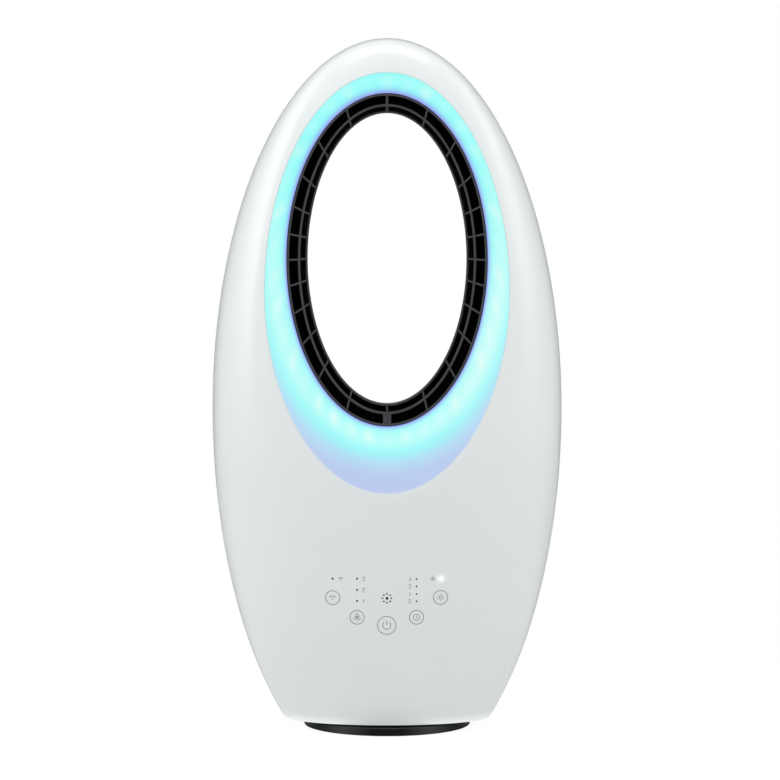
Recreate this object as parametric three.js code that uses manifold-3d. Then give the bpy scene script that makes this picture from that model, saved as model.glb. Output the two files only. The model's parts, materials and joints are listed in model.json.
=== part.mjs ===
// Bladeless oval fan. An egg-shaped shell stands on a round swivelling base. A blower low in the shell
// drives air up into the hollow loop, and it leaves through a slotted ring round an oval throat. A glowing
// funnel surrounds that ring, and a touch panel lies behind the lower front.
// Millimetres, +Z up, the front faces -Y, origin on the table under the middle of the base.
import * as THREE from "three";
import { mergeVertices } from "three/addons/utils/BufferGeometryUtils.js";
import Module from "manifold-3d";

const wasm = await Module();
wasm.setup();

// ---------------------------------------------------------------- driving dimensions
const EGG_HALF_WIDTH = 137;
const EGG_HALF_DEPTH = 86;
const EGG_WIDEST_Z = 250;
const EGG_TOP_Z = 540;
const EGG_LOWER_REACH = 302; // from the widest level down to where the whole egg would close
const EGG_DEPTH_POWER = 2.5; // 2 is a plain ellipsoid, more gives a flatter front and back
const SHELL_BOTTOM_Z = 7.7;
const SHELL_WALL = 2.5;

const FIT_GAP = 0.3; // between pieces that seat on each other
const EDGE_GAP = 0.4; // round a piece that drops into an opening
const RUN_GAP = 0.4; // round a shaft that turns in a bore
const PLATE_GAP = 1.5; // round a plate that lies inside the shell

const THROAT_BOTTOM_Z = 255.9;
const THROAT_TOP_MARGIN = 57; // from the throat up to the top of the egg
const THROAT_HALF_WIDTH = 61.8;
const THROAT_HALF_HEIGHT = (EGG_TOP_Z - THROAT_TOP_MARGIN - THROAT_BOTTOM_Z) / 2;
const THROAT_Z = THROAT_BOTTOM_Z + THROAT_HALF_HEIGHT;
const THROAT_LIP_Y = -18.5; // the narrowest place, behind the slotted ring
const THROAT_WALL = 2;
const THROAT_FLARE = 15; // how much wider the throat is at the back

const GRILLE_WIDTH = 16; // radial width of the slotted ring
const GRILLE_FRONT_Y = -34;
const GRILLE_HOOP_DEPTH = 4;
const OUTER_HOOP_WIDTH = 1.6;
const MIDDLE_HOOP_WIDTH = 1.9;
const MIDDLE_HOOP_OFFSET = 5.7; // from the throat to the middle hoop
const MIDDLE_HOOP_Y = -28.6;
const INNER_HOOP_WIDTH = 1.6;
const GRILLE_RIBS = 24;
const GRILLE_RIB_THICKNESS = 1.5;
const GRILLE_RIB_DEPTH = 2.5;
const TOP_RIB_THICKNESS = 2;
const JOIN_BLOCK_WIDTH = 6.4; // where the two ends of the ring meet, at its foot

const LIGHT_BOTTOM_Z = 192.7;
const LIGHT_TOP_MARGIN = 24.3; // from the glowing funnel up to the top of the egg
const LIGHT_WIDEST_Z = 347.3;
const LIGHT_HALF_WIDTH = 94.7;
const LIGHT_WALL = 2.2;
const LIGHT_STEP = 0.8; // how far its rim lies behind the face of the shell
const LIGHT_BOWL = 1.35; // 1 is a straight funnel, more is a bowl

const CHANNEL_WALL = 2;
const CHANNEL_REAR_Y = 2;
const CHANNEL_FLARE = 7.2;

const LED_BOARD_Y = -20;
const LED_BOARD_WIDTH = 9;
const BOARD_THICKNESS = 1.6;
const LED_COUNT = 36;
const LED_SIZE = 3.5;
const LED_HEIGHT = 1.6;

const BASE_RADIUS = 65.2;
const BASE_BOTTOM_Z = 0.5;
const BASE_TOP_Z = 6.3;
const BASE_WALL = 2.2;
const BASE_TOP_WALL = 1.4;
const BASE_PLATE_THICKNESS = 1.6;
const BASE_EDGE = 0.8;
const WEIGHT_THICKNESS = 1.6;
const FOOT_RADIUS = 7;
const FOOT_CIRCLE = 48;
const FOOT_THICKNESS = 1.3;
const FOOT_COUNT = 4;
const BASE_SCREW_CIRCLE = 30;
const BASE_SCREW_COUNT = 3;
const BASE_SCREW_HEAD = 0.5;
const BASE_SCREW_RECESS = 0.9; // the heads lie inside the cover, clear of the table
const BASE_SCREW_LENGTH = 4;

const HUB_RADIUS = 11;
const HUB_BORE = 2.2;
const FLOOR_THICKNESS = 2.5;
const FLOOR_TUBE_WALL = 3;
const FLOOR_TUBE_TOP_Z = 16.7;
const SLIP_RING_RADIUS = 46;
const SLIP_RING_WIDTH = 5;

const GEAR_MODULE = 1.5;
const GEAR_TEETH = 28;
const PINION_TEETH = 12;
const GEAR_THICKNESS = 5;
const GEAR_PRESSURE_ANGLE = 25 * (Math.PI / 180);
const GEAR_BACKLASH = 0.4;
const STOP_RADIUS = 27.5;
const STOP_LUG_WIDTH = 6;
const STOP_POST_RADIUS = 2.2;
const SWING_EACH_WAY = 40 * (Math.PI / 180);
const KEY_WIDTH = 4; // the key on the hub that stops the gear from turning
const KEY_HEIGHT = 1.5;
const PIVOT_WASHER_RADIUS = 15;
const PIVOT_WASHER_THICKNESS = 1.5;
const PIVOT_SCREW_HEAD_RADIUS = 4.5;
const PIVOT_SCREW_HEAD_HEIGHT = 3;
const PIVOT_SCREW_LENGTH = 14;

const SWING_MOTOR_RADIUS = 25;
const SWING_MOTOR_HEIGHT = 16;
const SWING_MOTOR_Z = 28;
const SWING_SHAFT_RADIUS = 3.5;
const SWING_SHAFT_REACH = 8; // how far the shaft stands inside the motor
const SWING_SHAFT_END_GAP = 2;
const SWING_EAR_OFFSET = 30;
const SWING_EAR_RADIUS = 5;
const SWING_EAR_THICKNESS = 1.5;
const SWING_SCREW_LENGTH = 12;

const PANEL_WIDTH = 104;
const PANEL_HEIGHT = 46;
const PANEL_Z = 100;
const PANEL_CLEARANCE = 2.5; // from the control board's lower corners to the shell's wall
const PANEL_CORNER_Y = -eggDepth(PANEL_WIDTH / 2, PANEL_Z - PANEL_HEIGHT / 2, SHELL_WALL);
const PANEL_Y = PANEL_CORNER_Y + PANEL_CLEARANCE + BOARD_THICKNESS; // the board's rear face
const PANEL_POST_RADIUS = 3;
const SOLDER_DEPTH = 0.5; // how far a component's feet reach into its board
const PANEL_PARTS = [
  [12, 30, 2.5, 6],
  [-34, -20, 6, 4],
]; // the controller chip and the plug: from x, to x, height and half width
const TOUCH_TIP_GAP = 1;
const TOUCH_KEYS = [
  ["touch_pad_swing", -42, 110.5, 6],
  ["touch_pad_speed", -23.3, 95.3, 6],
  ["touch_pad_power", 0, 89, 7.5],
  ["touch_pad_timer", 22.8, 95.3, 6],
  ["touch_pad_light", 41.5, 110.8, 6],
]; // name, x, z, radius

const DECK_Z = 180;
const DECK_THICKNESS = 3;
const BELL_FLARE = 7;
const BELL_HEIGHT = 10;
const BELL_CLEARANCE = 5.03; // from the bell's rim to the control board
const DUCT_RADIUS = -PANEL_Y - BELL_CLEARANCE - BELL_FLARE;
const DUCT_WALL = 2;
const DUCT_BOTTOM_Z = 104;
const DUCT_FLANGE_WIDTH = 12;
const DUCT_FLANGE_RADIUS = DUCT_RADIUS + DUCT_WALL + DUCT_FLANGE_WIDTH;
const DUCT_FLANGE_THICKNESS = 3;
const BLOWER_SCREW_CIRCLE = DUCT_FLANGE_RADIUS - DUCT_FLANGE_WIDTH / 2;
const BLOWER_SCREW_COUNT = 3;
const BLOWER_SCREW_LENGTH = 8;
const VANE_COUNT = 9;
const VANE_THICKNESS = 1.6;
const VANE_LEAN = 0.5; // radians
const VANE_END_GAP = 4; // from a vane's ends to those of the motor's cup

const IMPELLER_HEIGHT = 28;
const IMPELLER_BOTTOM_Z = DUCT_BOTTOM_Z + 1;
const IMPELLER_TOP_Z = IMPELLER_BOTTOM_Z + IMPELLER_HEIGHT;
const IMPELLER_TIP_GAP = 1.5;
const IMPELLER_HUB_BOTTOM_RADIUS = 17;
const IMPELLER_HUB_TOP_RADIUS = 31;
const IMPELLER_BLADES = 7;
const BLADE_THICKNESS = 2;
const BLADE_ROOT_DEPTH = 3; // how far a blade's root lies inside the hub
const BLADE_END_GAP = 2; // from a blade's ends to the hub's
const BLADE_SWEEP = 0.75; // radians from leading to trailing edge
const NUT_RADIUS = 5;
const NUT_HEIGHT = 4;

const MOTOR_RADIUS = 27.5;
const MOTOR_HEIGHT = 28;
const MOTOR_WALL = 1.5;
const MOTOR_SHAFT_RADIUS = 3;
const BEARING_RADIUS = 8;
const BEARING_HEIGHT = 5;
const CUP_RADIUS = 33;
const CUP_WALL = 2;
const CUP_CLEARANCE = 3; // from the impeller up to the motor's cup
const CUP_HEADROOM = 5; // from the motor's top up to the cup's rim
const CUP_BOTTOM_Z = IMPELLER_TOP_Z + CUP_CLEARANCE;
const MOTOR_BOTTOM_Z = CUP_BOTTOM_Z + CUP_WALL + 1;
const MOTOR_TOP_Z = MOTOR_BOTTOM_Z + MOTOR_HEIGHT;
const CUP_TOP_Z = MOTOR_TOP_Z + CUP_HEADROOM;
const CORE_RADIUS = 17;
const CORE_END_GAP = 1; // from the core to the seats of the bearings
const CORE_HEIGHT = MOTOR_HEIGHT - 2 * (MOTOR_WALL + BEARING_HEIGHT + CORE_END_GAP);
const CORE_AIR_GAP = 0.5;
const ISOLATOR_HEIGHT = 6;
const TAIL_CONE_RIM = 2;
const TAIL_CONE_RISE = 12;

const INTAKE_Z = 118;
const INTAKE_HALF_WIDTH = 60;
const INTAKE_HALF_HEIGHT = 52;
const INTAKE_POWER = 2.6;
const INTAKE_STEP = 0.5;
const INTAKE_WALL = 2.2;
const INTAKE_BORDER = 6;
const INTAKE_SLOT_PITCH = 9;
const INTAKE_SLOT_HEIGHT = 4.4;
const INTAKE_SPINE = 5;

const SHELL_SCREWS = [
  [17.95, 300],
  [12.28, EGG_TOP_Z - 52],
  [18.01, 70],
]; // inwards from the egg's outline, and z; each has its mirror on the left
const SCREW_HEAD_RADIUS = 3.3;
const SCREW_HEAD_HEIGHT = 2.4;
const SCREW_RADIUS = 1.5;
const SCREW_LENGTH = 16;
const BOSS_RADIUS = 4.5;
const WELL_SEAT_Y = 5;
const WELL_WALL = 1.6;
const LUG_WIDTH = 8;
const LUG_HEIGHT = 6;
const LUG_REACH = 8; // inwards from the shell's wall
const DECK_LUG_X = 60;
const FLOOR_LUG_X = 28;

const POWER_BOARD_Z = 50;
const POWER_BOARD_WIDTH = 90;
const POWER_BOARD_DEPTH = 38;
const POWER_BOARD_CLEARANCE = 1.7; // from its posts to the shell's wall at the floor
const POWER_BOARD_REAR_Y =
  eggDepth(POWER_BOARD_WIDTH / 2, SHELL_BOTTOM_Z + FLOOR_THICKNESS, SHELL_WALL) - POWER_BOARD_CLEARANCE;
const POWER_BOARD_Y = POWER_BOARD_REAR_Y - POWER_BOARD_DEPTH / 2;
const POWER_POST_RADIUS = 3;
const TRANSFORMER = [-36, -6, 19, 13]; // from x, to x, height and half depth
const RELAY = [26, 40, 12, 8];
const CAPACITOR_X = 12;
const CAPACITOR_RADIUS = 6;
const CAPACITOR_HEIGHT = 18;

const SOCKET_Z = 35;
const SOCKET_RECESS = 4.3; // from the egg's back to the inlet's flat face
const SOCKET_Y = eggDepth(0, SOCKET_Z) - SOCKET_RECESS;
const SOCKET_WIDTH = 27;
const SOCKET_HEIGHT = 18;
const SOCKET_DEPTH = 19;
const SOCKET_WALL = 2.5;
const SOCKET_PIN_RADIUS = 1.2;
const SOCKET_PIN_SPACING = 8.6;
const SOCKET_PIN_LENGTH = 9;
const LEAD_RADIUS = 2.5;
const LEAD_BEND = 8; // how far in front of the inlet the lead turns upwards

// ---------------------------------------------------------------- mesh resolution
const SEAM_STEPS = 30;
const UNDERSIDE_STEPS = 10;
const SHELL_ROWS = 5;
const FUNNEL_ROWS = 3;
const ROUND_STEPS = 16;
const BASE_STEPS = 36;
const INTAKE_STEPS = 24;
const SMALL_STEPS = 8;

// ---------------------------------------------------------------- materials
function finish(color, roughness, metalness = 0) {
  return new THREE.MeshStandardMaterial({ color, roughness, metalness });
}

const WHITE_GLOSS = finish(0xeef1f1, 0.18);
const BLACK_SATIN = finish(0x1b1b1d, 0.4);
const BLACK_GLOSS = finish(0x121214, 0.2);
const CLEAR_GLOW = new THREE.MeshStandardMaterial({ color: 0xb8f4f4, roughness: 0.25, emissive: 0x38dfe6 });
const WHITE_INNER = finish(0xdfe2e2, 0.5);
const RUBBER = finish(0x222222, 0.9);
const STEEL = finish(0xb6b9bd, 0.35, 0.9);
const COPPER_CORE = finish(0x8a8d92, 0.5, 0.8);
const BOARD_GREEN = finish(0x1e5b3a, 0.5);
const BOARD_WHITE = finish(0xf3f3ee, 0.5);
const NYLON = finish(0xe9e4d2, 0.45);
const SPRING_STEEL = finish(0xc9ccd0, 0.3, 0.9);

// ---------------------------------------------------------------- solids and placing
const fan = new THREE.Group();

function signedVolume(positions, index) {
  const at = (i) => new THREE.Vector3().fromArray(positions, index[i] * 3);
  let sum = 0;
  for (let i = 0; i < index.length; i += 3) sum += at(i).dot(at(i + 1).cross(at(i + 2)));
  return sum / 6;
}

// A closed geometry as a solid, with its faces turned outwards.
function solid(geometry) {
  const plain = geometry.clone();
  plain.deleteAttribute("normal");
  plain.deleteAttribute("uv");
  const merged = mergeVertices(plain, 1e-4);
  const vertProperties = new Float32Array(merged.attributes.position.array);
  const triVerts = new Uint32Array(merged.index.array);
  if (signedVolume(vertProperties, triVerts) < 0)
    for (let i = 0; i < triVerts.length; i += 3)
      [triVerts[i], triVerts[i + 1]] = [triVerts[i + 1], triVerts[i]];
  return new wasm.Manifold(new wasm.Mesh({ numProp: 3, vertProperties, triVerts }));
}

function join(...solids) {
  return solids.reduce((whole, next) => whole.add(next));
}

function cut(body, ...tools) {
  return tools.reduce((left, tool) => left.subtract(tool), body);
}

// Adds a solid to the fan as a named mesh.
function add(name, body, material) {
  const { numProp, numVert, vertProperties, triVerts } = body.getMesh();
  const positions = new Float32Array(numVert * 3);
  for (let i = 0; i < numVert; i++)
    positions.set(vertProperties.subarray(i * numProp, i * numProp + 3), i * 3);
  const geometry = new THREE.BufferGeometry();
  geometry.setAttribute("position", new THREE.BufferAttribute(positions, 3));
  geometry.setIndex(new THREE.BufferAttribute(new Uint32Array(triVerts), 1));
  geometry.computeVertexNormals();
  const mesh = new THREE.Mesh(geometry, material);
  mesh.name = name;
  fan.add(mesh);
}

const range = (count) => Array.from({ length: count }, (_, i) => i);

// A body of revolution about +Z from [radius, z] pairs, moved to (x, y).
function turned(profile, steps = ROUND_STEPS, x = 0, y = 0) {
  const closed = [...profile, profile[0]].map(([r, z]) => new THREE.Vector2(r, z));
  return solid(new THREE.LatheGeometry(closed, steps).rotateX(Math.PI / 2).translate(x, y, 0));
}

// An upright round bar, and one that lies along Y.
function barZ(radius, fromZ, toZ, x = 0, y = 0, steps = SMALL_STEPS) {
  const bar = new THREE.CylinderGeometry(radius, radius, toZ - fromZ, steps);
  return solid(bar.rotateX(Math.PI / 2).translate(x, y, (fromZ + toZ) / 2));
}

function barY(radius, fromY, toY, x, z, steps = SMALL_STEPS) {
  const bar = new THREE.CylinderGeometry(radius, radius, Math.abs(toY - fromY), steps);
  return solid(bar.translate(x, (fromY + toY) / 2, z));
}

// A block from its lowest to its highest corner.
function block(low, high) {
  const size = high.map((value, i) => value - low[i]);
  const middle = high.map((value, i) => (value + low[i]) / 2);
  return solid(new THREE.BoxGeometry(...size).translate(...middle));
}

// A flat outline in plan, given upwards thickness.
function plate(outline, fromZ, toZ, holes = []) {
  const shape = new THREE.Shape(outline);
  shape.holes = holes.map((hole) => new THREE.Path(hole));
  const flat = new THREE.ExtrudeGeometry(shape, { depth: toZ - fromZ, bevelEnabled: false });
  return solid(flat.translate(0, 0, fromZ));
}

// An outline drawn in the front view, carried through along Y.
function prismY(outline, fromY, toY) {
  const shape = new THREE.Shape(outline);
  const flat = new THREE.ExtrudeGeometry(shape, { depth: toY - fromY, bevelEnabled: false });
  return solid(flat.rotateX(Math.PI / 2).translate(0, toY, 0));
}

function circle(radius, steps = SMALL_STEPS, x = 0, y = 0) {
  return range(steps).map((i) => {
    const angle = (i / steps) * 2 * Math.PI;
    return new THREE.Vector2(x + radius * Math.cos(angle), y + radius * Math.sin(angle));
  });
}

// A closed ring of equal cross-sections, each a loop of points.
function ringBody(sections) {
  const rows = sections.length;
  const columns = sections[0].length;
  const corner = (i, j) => (i % rows) * columns + (j % columns);
  const index = [];
  for (let i = 0; i < rows; i++)
    for (let j = 0; j < columns; j++) {
      index.push(corner(i, j), corner(i + 1, j), corner(i + 1, j + 1));
      index.push(corner(i, j), corner(i + 1, j + 1), corner(i, j + 1));
    }
  const geometry = new THREE.BufferGeometry().setFromPoints(sections.flat());
  return solid(geometry.setIndex(index));
}

// A dome over a flat back: rings of points from near its pole out to its rim, on a flat plane.
function domeBody(pole, rings, back) {
  const count = rings[0].length;
  const points = [pole, ...rings.flat(), back];
  const at = (ring, i) => 1 + ring * count + (i % count);
  const index = [];
  for (let i = 0; i < count; i++) {
    index.push(0, at(0, i + 1), at(0, i));
    for (let ring = 0; ring + 1 < rings.length; ring++) {
      index.push(at(ring, i), at(ring, i + 1), at(ring + 1, i + 1));
      index.push(at(ring, i), at(ring + 1, i + 1), at(ring + 1, i));
    }
    index.push(points.length - 1, at(rings.length - 1, i), at(rings.length - 1, i + 1));
  }
  return solid(new THREE.BufferGeometry().setFromPoints(points).setIndex(index));
}

// A screw or bolt: a head with its underside at the origin, and a shank that runs down -Z.
function screwProfile(headRadius, headHeight, shankRadius, length) {
  return [
    [0, -length],
    [shankRadius, -length],
    [shankRadius, 0],
    [headRadius, 0],
    [headRadius, headHeight * 0.6],
    [headRadius * 0.6, headHeight],
    [0, headHeight],
  ];
}

const panHead = (length) =>
  turned(screwProfile(SCREW_HEAD_RADIUS, SCREW_HEAD_HEIGHT, SCREW_RADIUS, length), SMALL_STEPS);

const fromBelow = (body, z, x = 0, y = 0) => body.rotate([180, 0, 0]).translate([x, y, z]);

// ---------------------------------------------------------------- the egg
// 1 in the middle of the front view, 0 on its outline and less outside it.
function eggLevel(x, z, inset = 0) {
  const reach = z > EGG_WIDEST_Z ? EGG_TOP_Z - EGG_WIDEST_Z : EGG_LOWER_REACH;
  return 1 - (x / (EGG_HALF_WIDTH - inset)) ** 2 - ((z - EGG_WIDEST_Z) / (reach - inset)) ** 2;
}

// How far the egg's face stands in front of its middle plane, or its back behind it.
function eggDepth(x, z, inset = 0) {
  return (EGG_HALF_DEPTH - inset) * Math.max(eggLevel(x, z, inset), 0) ** (1 / EGG_DEPTH_POWER);
}

// Points [x, z] of the egg's outline in the front view: from its lower left corner over the top to the
// right one, and back along the flat underside.
function eggRim(inset) {
  const width = EGG_HALF_WIDTH - inset;
  const lowerReach = EGG_LOWER_REACH - inset;
  const corner = Math.PI - Math.acos((EGG_WIDEST_Z - SHELL_BOTTOM_Z) / lowerReach);
  const seam = range(SEAM_STEPS).map((i) => {
    const turn = corner * ((2 * i) / SEAM_STEPS - 1);
    const reach = Math.cos(turn) > 0 ? EGG_TOP_Z - EGG_WIDEST_Z - inset : lowerReach;
    return [width * Math.sin(turn), EGG_WIDEST_Z + reach * Math.cos(turn)];
  });
  const underside = range(UNDERSIDE_STEPS).map((i) => {
    const across = Math.cos((i / UNDERSIDE_STEPS) * Math.PI);
    return [width * Math.sin(corner) * across, SHELL_BOTTOM_Z];
  });
  return [...seam, ...underside];
}

// A point of the egg's skin in front of its middle plane (side -1) or behind it (side 1).
function skinPoint([x, z], side, inset) {
  return new THREE.Vector3(x, side * eggDepth(x, z, inset), z);
}

const between = (from, to, share) => from.map((value, i) => value + (to[i] - value) * share);

// The egg's level outline at a height.
function eggSection(z, inset, steps) {
  const level = eggLevel(0, z, inset);
  return range(steps).map((i) => {
    const angle = (i / steps) * 2 * Math.PI;
    const x = (EGG_HALF_WIDTH - inset) * Math.sqrt(level) * Math.cos(angle);
    const y = (EGG_HALF_DEPTH - inset) * (level * Math.sin(angle) ** 2) ** (1 / EGG_DEPTH_POWER);
    return new THREE.Vector2(x, Math.sign(Math.sin(angle)) * y);
  });
}

// Half of the solid egg, in front of its middle plane (side -1) or behind it (side 1).
function eggHalf(side, inset) {
  const middle = [0, EGG_WIDEST_Z];
  const outline = eggRim(inset);
  const rings = range(SHELL_ROWS).map((row) => {
    const share = Math.sin(((row + 1) / SHELL_ROWS) * (Math.PI / 2));
    return outline.map((rim) => skinPoint(between(middle, rim, share), side, inset));
  });
  const flat = outline.map(([x, z]) => new THREE.Vector3(x, 0, z));
  return domeBody(skinPoint(middle, side, inset), [...rings, flat], new THREE.Vector3(0, 0, EGG_WIDEST_Z));
}

// A point [x, z] of an opening's edge, or `inset` inside it. An opening is half an ellipse above its
// widest level and half another one below it, and `angle` is the angle of that ellipse.
function openingPoint(opening, angle, inset = 0) {
  const reach = Math.cos(angle) > 0 ? opening.above : opening.below;
  return [(opening.halfWidth - inset) * Math.sin(angle), opening.z + (reach - inset) * Math.cos(angle)];
}

// The ellipse angles at which rays from the middle of an opening meet the points of the egg's outline.
function openingAngles(opening) {
  return eggRim(0).map(([x, z]) => {
    const up = z - opening.z;
    return Math.atan2(x / opening.halfWidth, up / (up > 0 ? opening.above : opening.below));
  });
}

// Rows of skin points for one half of the shell, each from an oval opening out to the seam.
function halfSkin(side, opening, inset) {
  const seamGap = new THREE.Vector3(0, (side * FIT_GAP) / 2, 0);
  const edges = openingAngles(opening).map((angle) => openingPoint(opening, angle));
  return eggRim(inset).map((rim, i) => {
    const edgeReach = Math.hypot(edges[i][0], edges[i][1] - opening.z);
    const nearest = edgeReach / Math.hypot(rim[0], rim[1] - opening.z);
    const first = Math.asin(nearest);
    return range(SHELL_ROWS + 1).map((row) => {
      const reach = Math.sin(first + (Math.PI / 2 - first) * (row / SHELL_ROWS));
      const share = (reach - nearest) / (1 - nearest);
      return skinPoint(between(edges[i], rim, share), side, inset).add(seamGap);
    });
  });
}

// Half of the shell with an oval opening: an outer and an inner skin that meet at the opening and the seam.
function halfShell(side, opening) {
  const inner = halfSkin(side, opening, SHELL_WALL);
  return ringBody(halfSkin(side, opening, 0).map((outer, i) => [...outer, ...inner[i].reverse()]));
}

// The space from the middle of that wall down to the egg's middle plane. What stands on the wall ends in it.
function shellSpace(side, opening) {
  return ringBody(
    halfSkin(side, opening, SHELL_WALL / 2).map((row) => {
      const flat = row.map(({ x, z }) => new THREE.Vector3(x, 0, z));
      return [...row, ...flat.reverse()];
    }),
  );
}

// ---------------------------------------------------------------- the throat and what surrounds it
const LIGHT_OPENING = {
  z: LIGHT_WIDEST_Z,
  halfWidth: LIGHT_HALF_WIDTH,
  above: EGG_TOP_Z - LIGHT_TOP_MARGIN - LIGHT_WIDEST_Z,
  below: LIGHT_WIDEST_Z - LIGHT_BOTTOM_Z,
};
const REAR_OPENING = {
  z: THROAT_Z,
  halfWidth: THROAT_HALF_WIDTH + THROAT_FLARE,
  above: THROAT_HALF_HEIGHT + THROAT_FLARE,
  below: THROAT_HALF_HEIGHT + THROAT_FLARE,
};

// A point of the oval that lies `offset` outside the throat, at an angle of the ellipse.
function throatPoint(angle, offset, y) {
  const x = (THROAT_HALF_WIDTH + offset) * Math.sin(angle);
  const z = THROAT_Z + (THROAT_HALF_HEIGHT + offset) * Math.cos(angle);
  return new THREE.Vector3(x, y, z);
}

// A ring round the throat whose section is a list of [offset, y].
function throatRing(section) {
  return ringBody(
    openingAngles(LIGHT_OPENING).map((angle) => section.map(([offset, y]) => throatPoint(angle, offset, y))),
  );
}

function hoop(offset, width, frontY, depth = GRILLE_HOOP_DEPTH) {
  return throatRing([
    [offset, frontY],
    [offset + width, frontY],
    [offset + width, frontY + depth],
    [offset, frontY + depth],
  ]);
}

// One rib of the slotted ring: a thin plate that points away from the throat's centre.
function grilleRib(direction, thickness, fromOffset, toOffset) {
  const radiusAt = (offset) =>
    1 /
    Math.hypot(
      Math.sin(direction) / (THROAT_HALF_WIDTH + offset),
      Math.cos(direction) / (THROAT_HALF_HEIGHT + offset),
    );
  const spine = [
    [INNER_HOOP_WIDTH / 2, THROAT_LIP_Y - GRILLE_HOOP_DEPTH + 1],
    [MIDDLE_HOOP_OFFSET + MIDDLE_HOOP_WIDTH / 2, MIDDLE_HOOP_Y + 0.5],
    [GRILLE_WIDTH - OUTER_HOOP_WIDTH / 2, GRILLE_FRONT_Y + 0.8],
  ].filter(([offset]) => offset >= fromOffset && offset <= toOffset);
  const front = spine.map(([offset, y]) => new THREE.Vector2(radiusAt(offset), y));
  const back = spine.map(([offset, y]) => new THREE.Vector2(radiusAt(offset), y + GRILLE_RIB_DEPTH));
  const shape = new THREE.Shape([...front, ...back.reverse()]);
  const flat = new THREE.ExtrudeGeometry(shape, { depth: thickness, bevelEnabled: false });
  flat.translate(0, 0, -thickness / 2);
  return solid(flat.rotateY(direction - Math.PI / 2).translate(0, 0, THROAT_Z));
}

function outletGrille() {
  const hoops = [
    hoop(0, INNER_HOOP_WIDTH, THROAT_LIP_Y - GRILLE_HOOP_DEPTH),
    hoop(MIDDLE_HOOP_OFFSET, MIDDLE_HOOP_WIDTH, MIDDLE_HOOP_Y),
    hoop(GRILLE_WIDTH - OUTER_HOOP_WIDTH, OUTER_HOOP_WIDTH, GRILLE_FRONT_Y),
  ];
  const ribs = range(GRILLE_RIBS).map((i) =>
    grilleRib((i / GRILLE_RIBS) * 2 * Math.PI, i ? GRILLE_RIB_THICKNESS : TOP_RIB_THICKNESS, 0, GRILLE_WIDTH),
  );
  const joinBlock = grilleRib(Math.PI, JOIN_BLOCK_WIDTH, MIDDLE_HOOP_OFFSET, GRILLE_WIDTH);
  return join(...hoops, ...ribs, joinBlock);
}

// Leads the air from the loop to the slots, and shades the light behind the funnel from them.
function outletChannel() {
  const frontY = GRILLE_FRONT_Y + GRILLE_HOOP_DEPTH + FIT_GAP;
  const frontOffset = GRILLE_WIDTH - OUTER_HOOP_WIDTH + FIT_GAP;
  return throatRing([
    [frontOffset, frontY],
    [frontOffset + CHANNEL_WALL, frontY],
    [frontOffset + CHANNEL_WALL + CHANNEL_FLARE, CHANNEL_REAR_Y],
    [frontOffset + CHANNEL_FLARE, CHANNEL_REAR_Y],
  ]);
}

// The wall of the throat, from the lip out to the opening in the back.
function throatSleeve() {
  return ringBody(
    openingAngles(REAR_OPENING).map((angle) => {
      const lip = throatPoint(angle, 0, THROAT_LIP_Y + FIT_GAP);
      const lipOuter = throatPoint(angle, THROAT_WALL, THROAT_LIP_Y + FIT_GAP);
      const rear = throatPoint(angle, THROAT_FLARE - EDGE_GAP, 0);
      rear.y = eggDepth(rear.x, rear.z) + FIT_GAP / 2;
      const rearInner = throatPoint(angle, THROAT_FLARE - EDGE_GAP - THROAT_WALL, rear.y);
      return [rearInner, lip, lipOuter, rear];
    }),
  );
}

// The glowing funnel between the shell's front opening and the slotted ring.
function lightRing() {
  return ringBody(
    openingAngles(LIGHT_OPENING).map((angle) => {
      const [x, z] = openingPoint(LIGHT_OPENING, angle, EDGE_GAP);
      const outer = new THREE.Vector3(x, LIGHT_STEP - eggDepth(x, z), z);
      const inner = throatPoint(angle, GRILLE_WIDTH + EDGE_GAP, GRILLE_FRONT_Y);
      const face = range(FUNNEL_ROWS + 1).map((row) => {
        const along = row / FUNNEL_ROWS;
        const point = outer.clone().lerp(inner, along);
        point.y = outer.y + (inner.y - outer.y) * (1 - (1 - along) ** LIGHT_BOWL);
        return point;
      });
      const back = face.map((p) => new THREE.Vector3(p.x, p.y + LIGHT_WALL, p.z));
      return [...face, ...back.reverse()];
    }),
  );
}

// The offset of the channel's outer wall at a depth.
function channelOffset(y) {
  const frontY = GRILLE_FRONT_Y + GRILLE_HOOP_DEPTH + FIT_GAP;
  const frontOffset = GRILLE_WIDTH - OUTER_HOOP_WIDTH + FIT_GAP + CHANNEL_WALL;
  return frontOffset + (CHANNEL_FLARE * (y - frontY)) / (CHANNEL_REAR_Y - frontY);
}

function ledBoard() {
  const rearY = LED_BOARD_Y + BOARD_THICKNESS;
  const inner = channelOffset(rearY) + FIT_GAP;
  const strip = throatRing([
    [inner, LED_BOARD_Y],
    [inner + LED_BOARD_WIDTH, LED_BOARD_Y],
    [inner + LED_BOARD_WIDTH, rearY],
    [inner, rearY],
  ]);
  const chips = range(LED_COUNT).map((i) => {
    const angle = ((i + 0.5) / LED_COUNT) * 2 * Math.PI;
    const spot = throatPoint(angle, inner + LED_BOARD_WIDTH / 2, LED_BOARD_Y);
    const half = LED_SIZE / 2;
    return block(
      [spot.x - half, LED_BOARD_Y - LED_HEIGHT, spot.z - half],
      [spot.x + half, LED_BOARD_Y + BOARD_THICKNESS / 2, spot.z + half],
    );
  });
  return join(strip, ...chips);
}

// ---------------------------------------------------------------- the shell
const BOTH_SIDES = [1, -1];
const SCREW_PLACES = SHELL_SCREWS.flatMap(([inset, z]) => {
  const x = EGG_HALF_WIDTH * Math.sqrt(eggLevel(0, z)) - inset;
  return BOTH_SIDES.map((side) => [side * x, z]);
});

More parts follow.
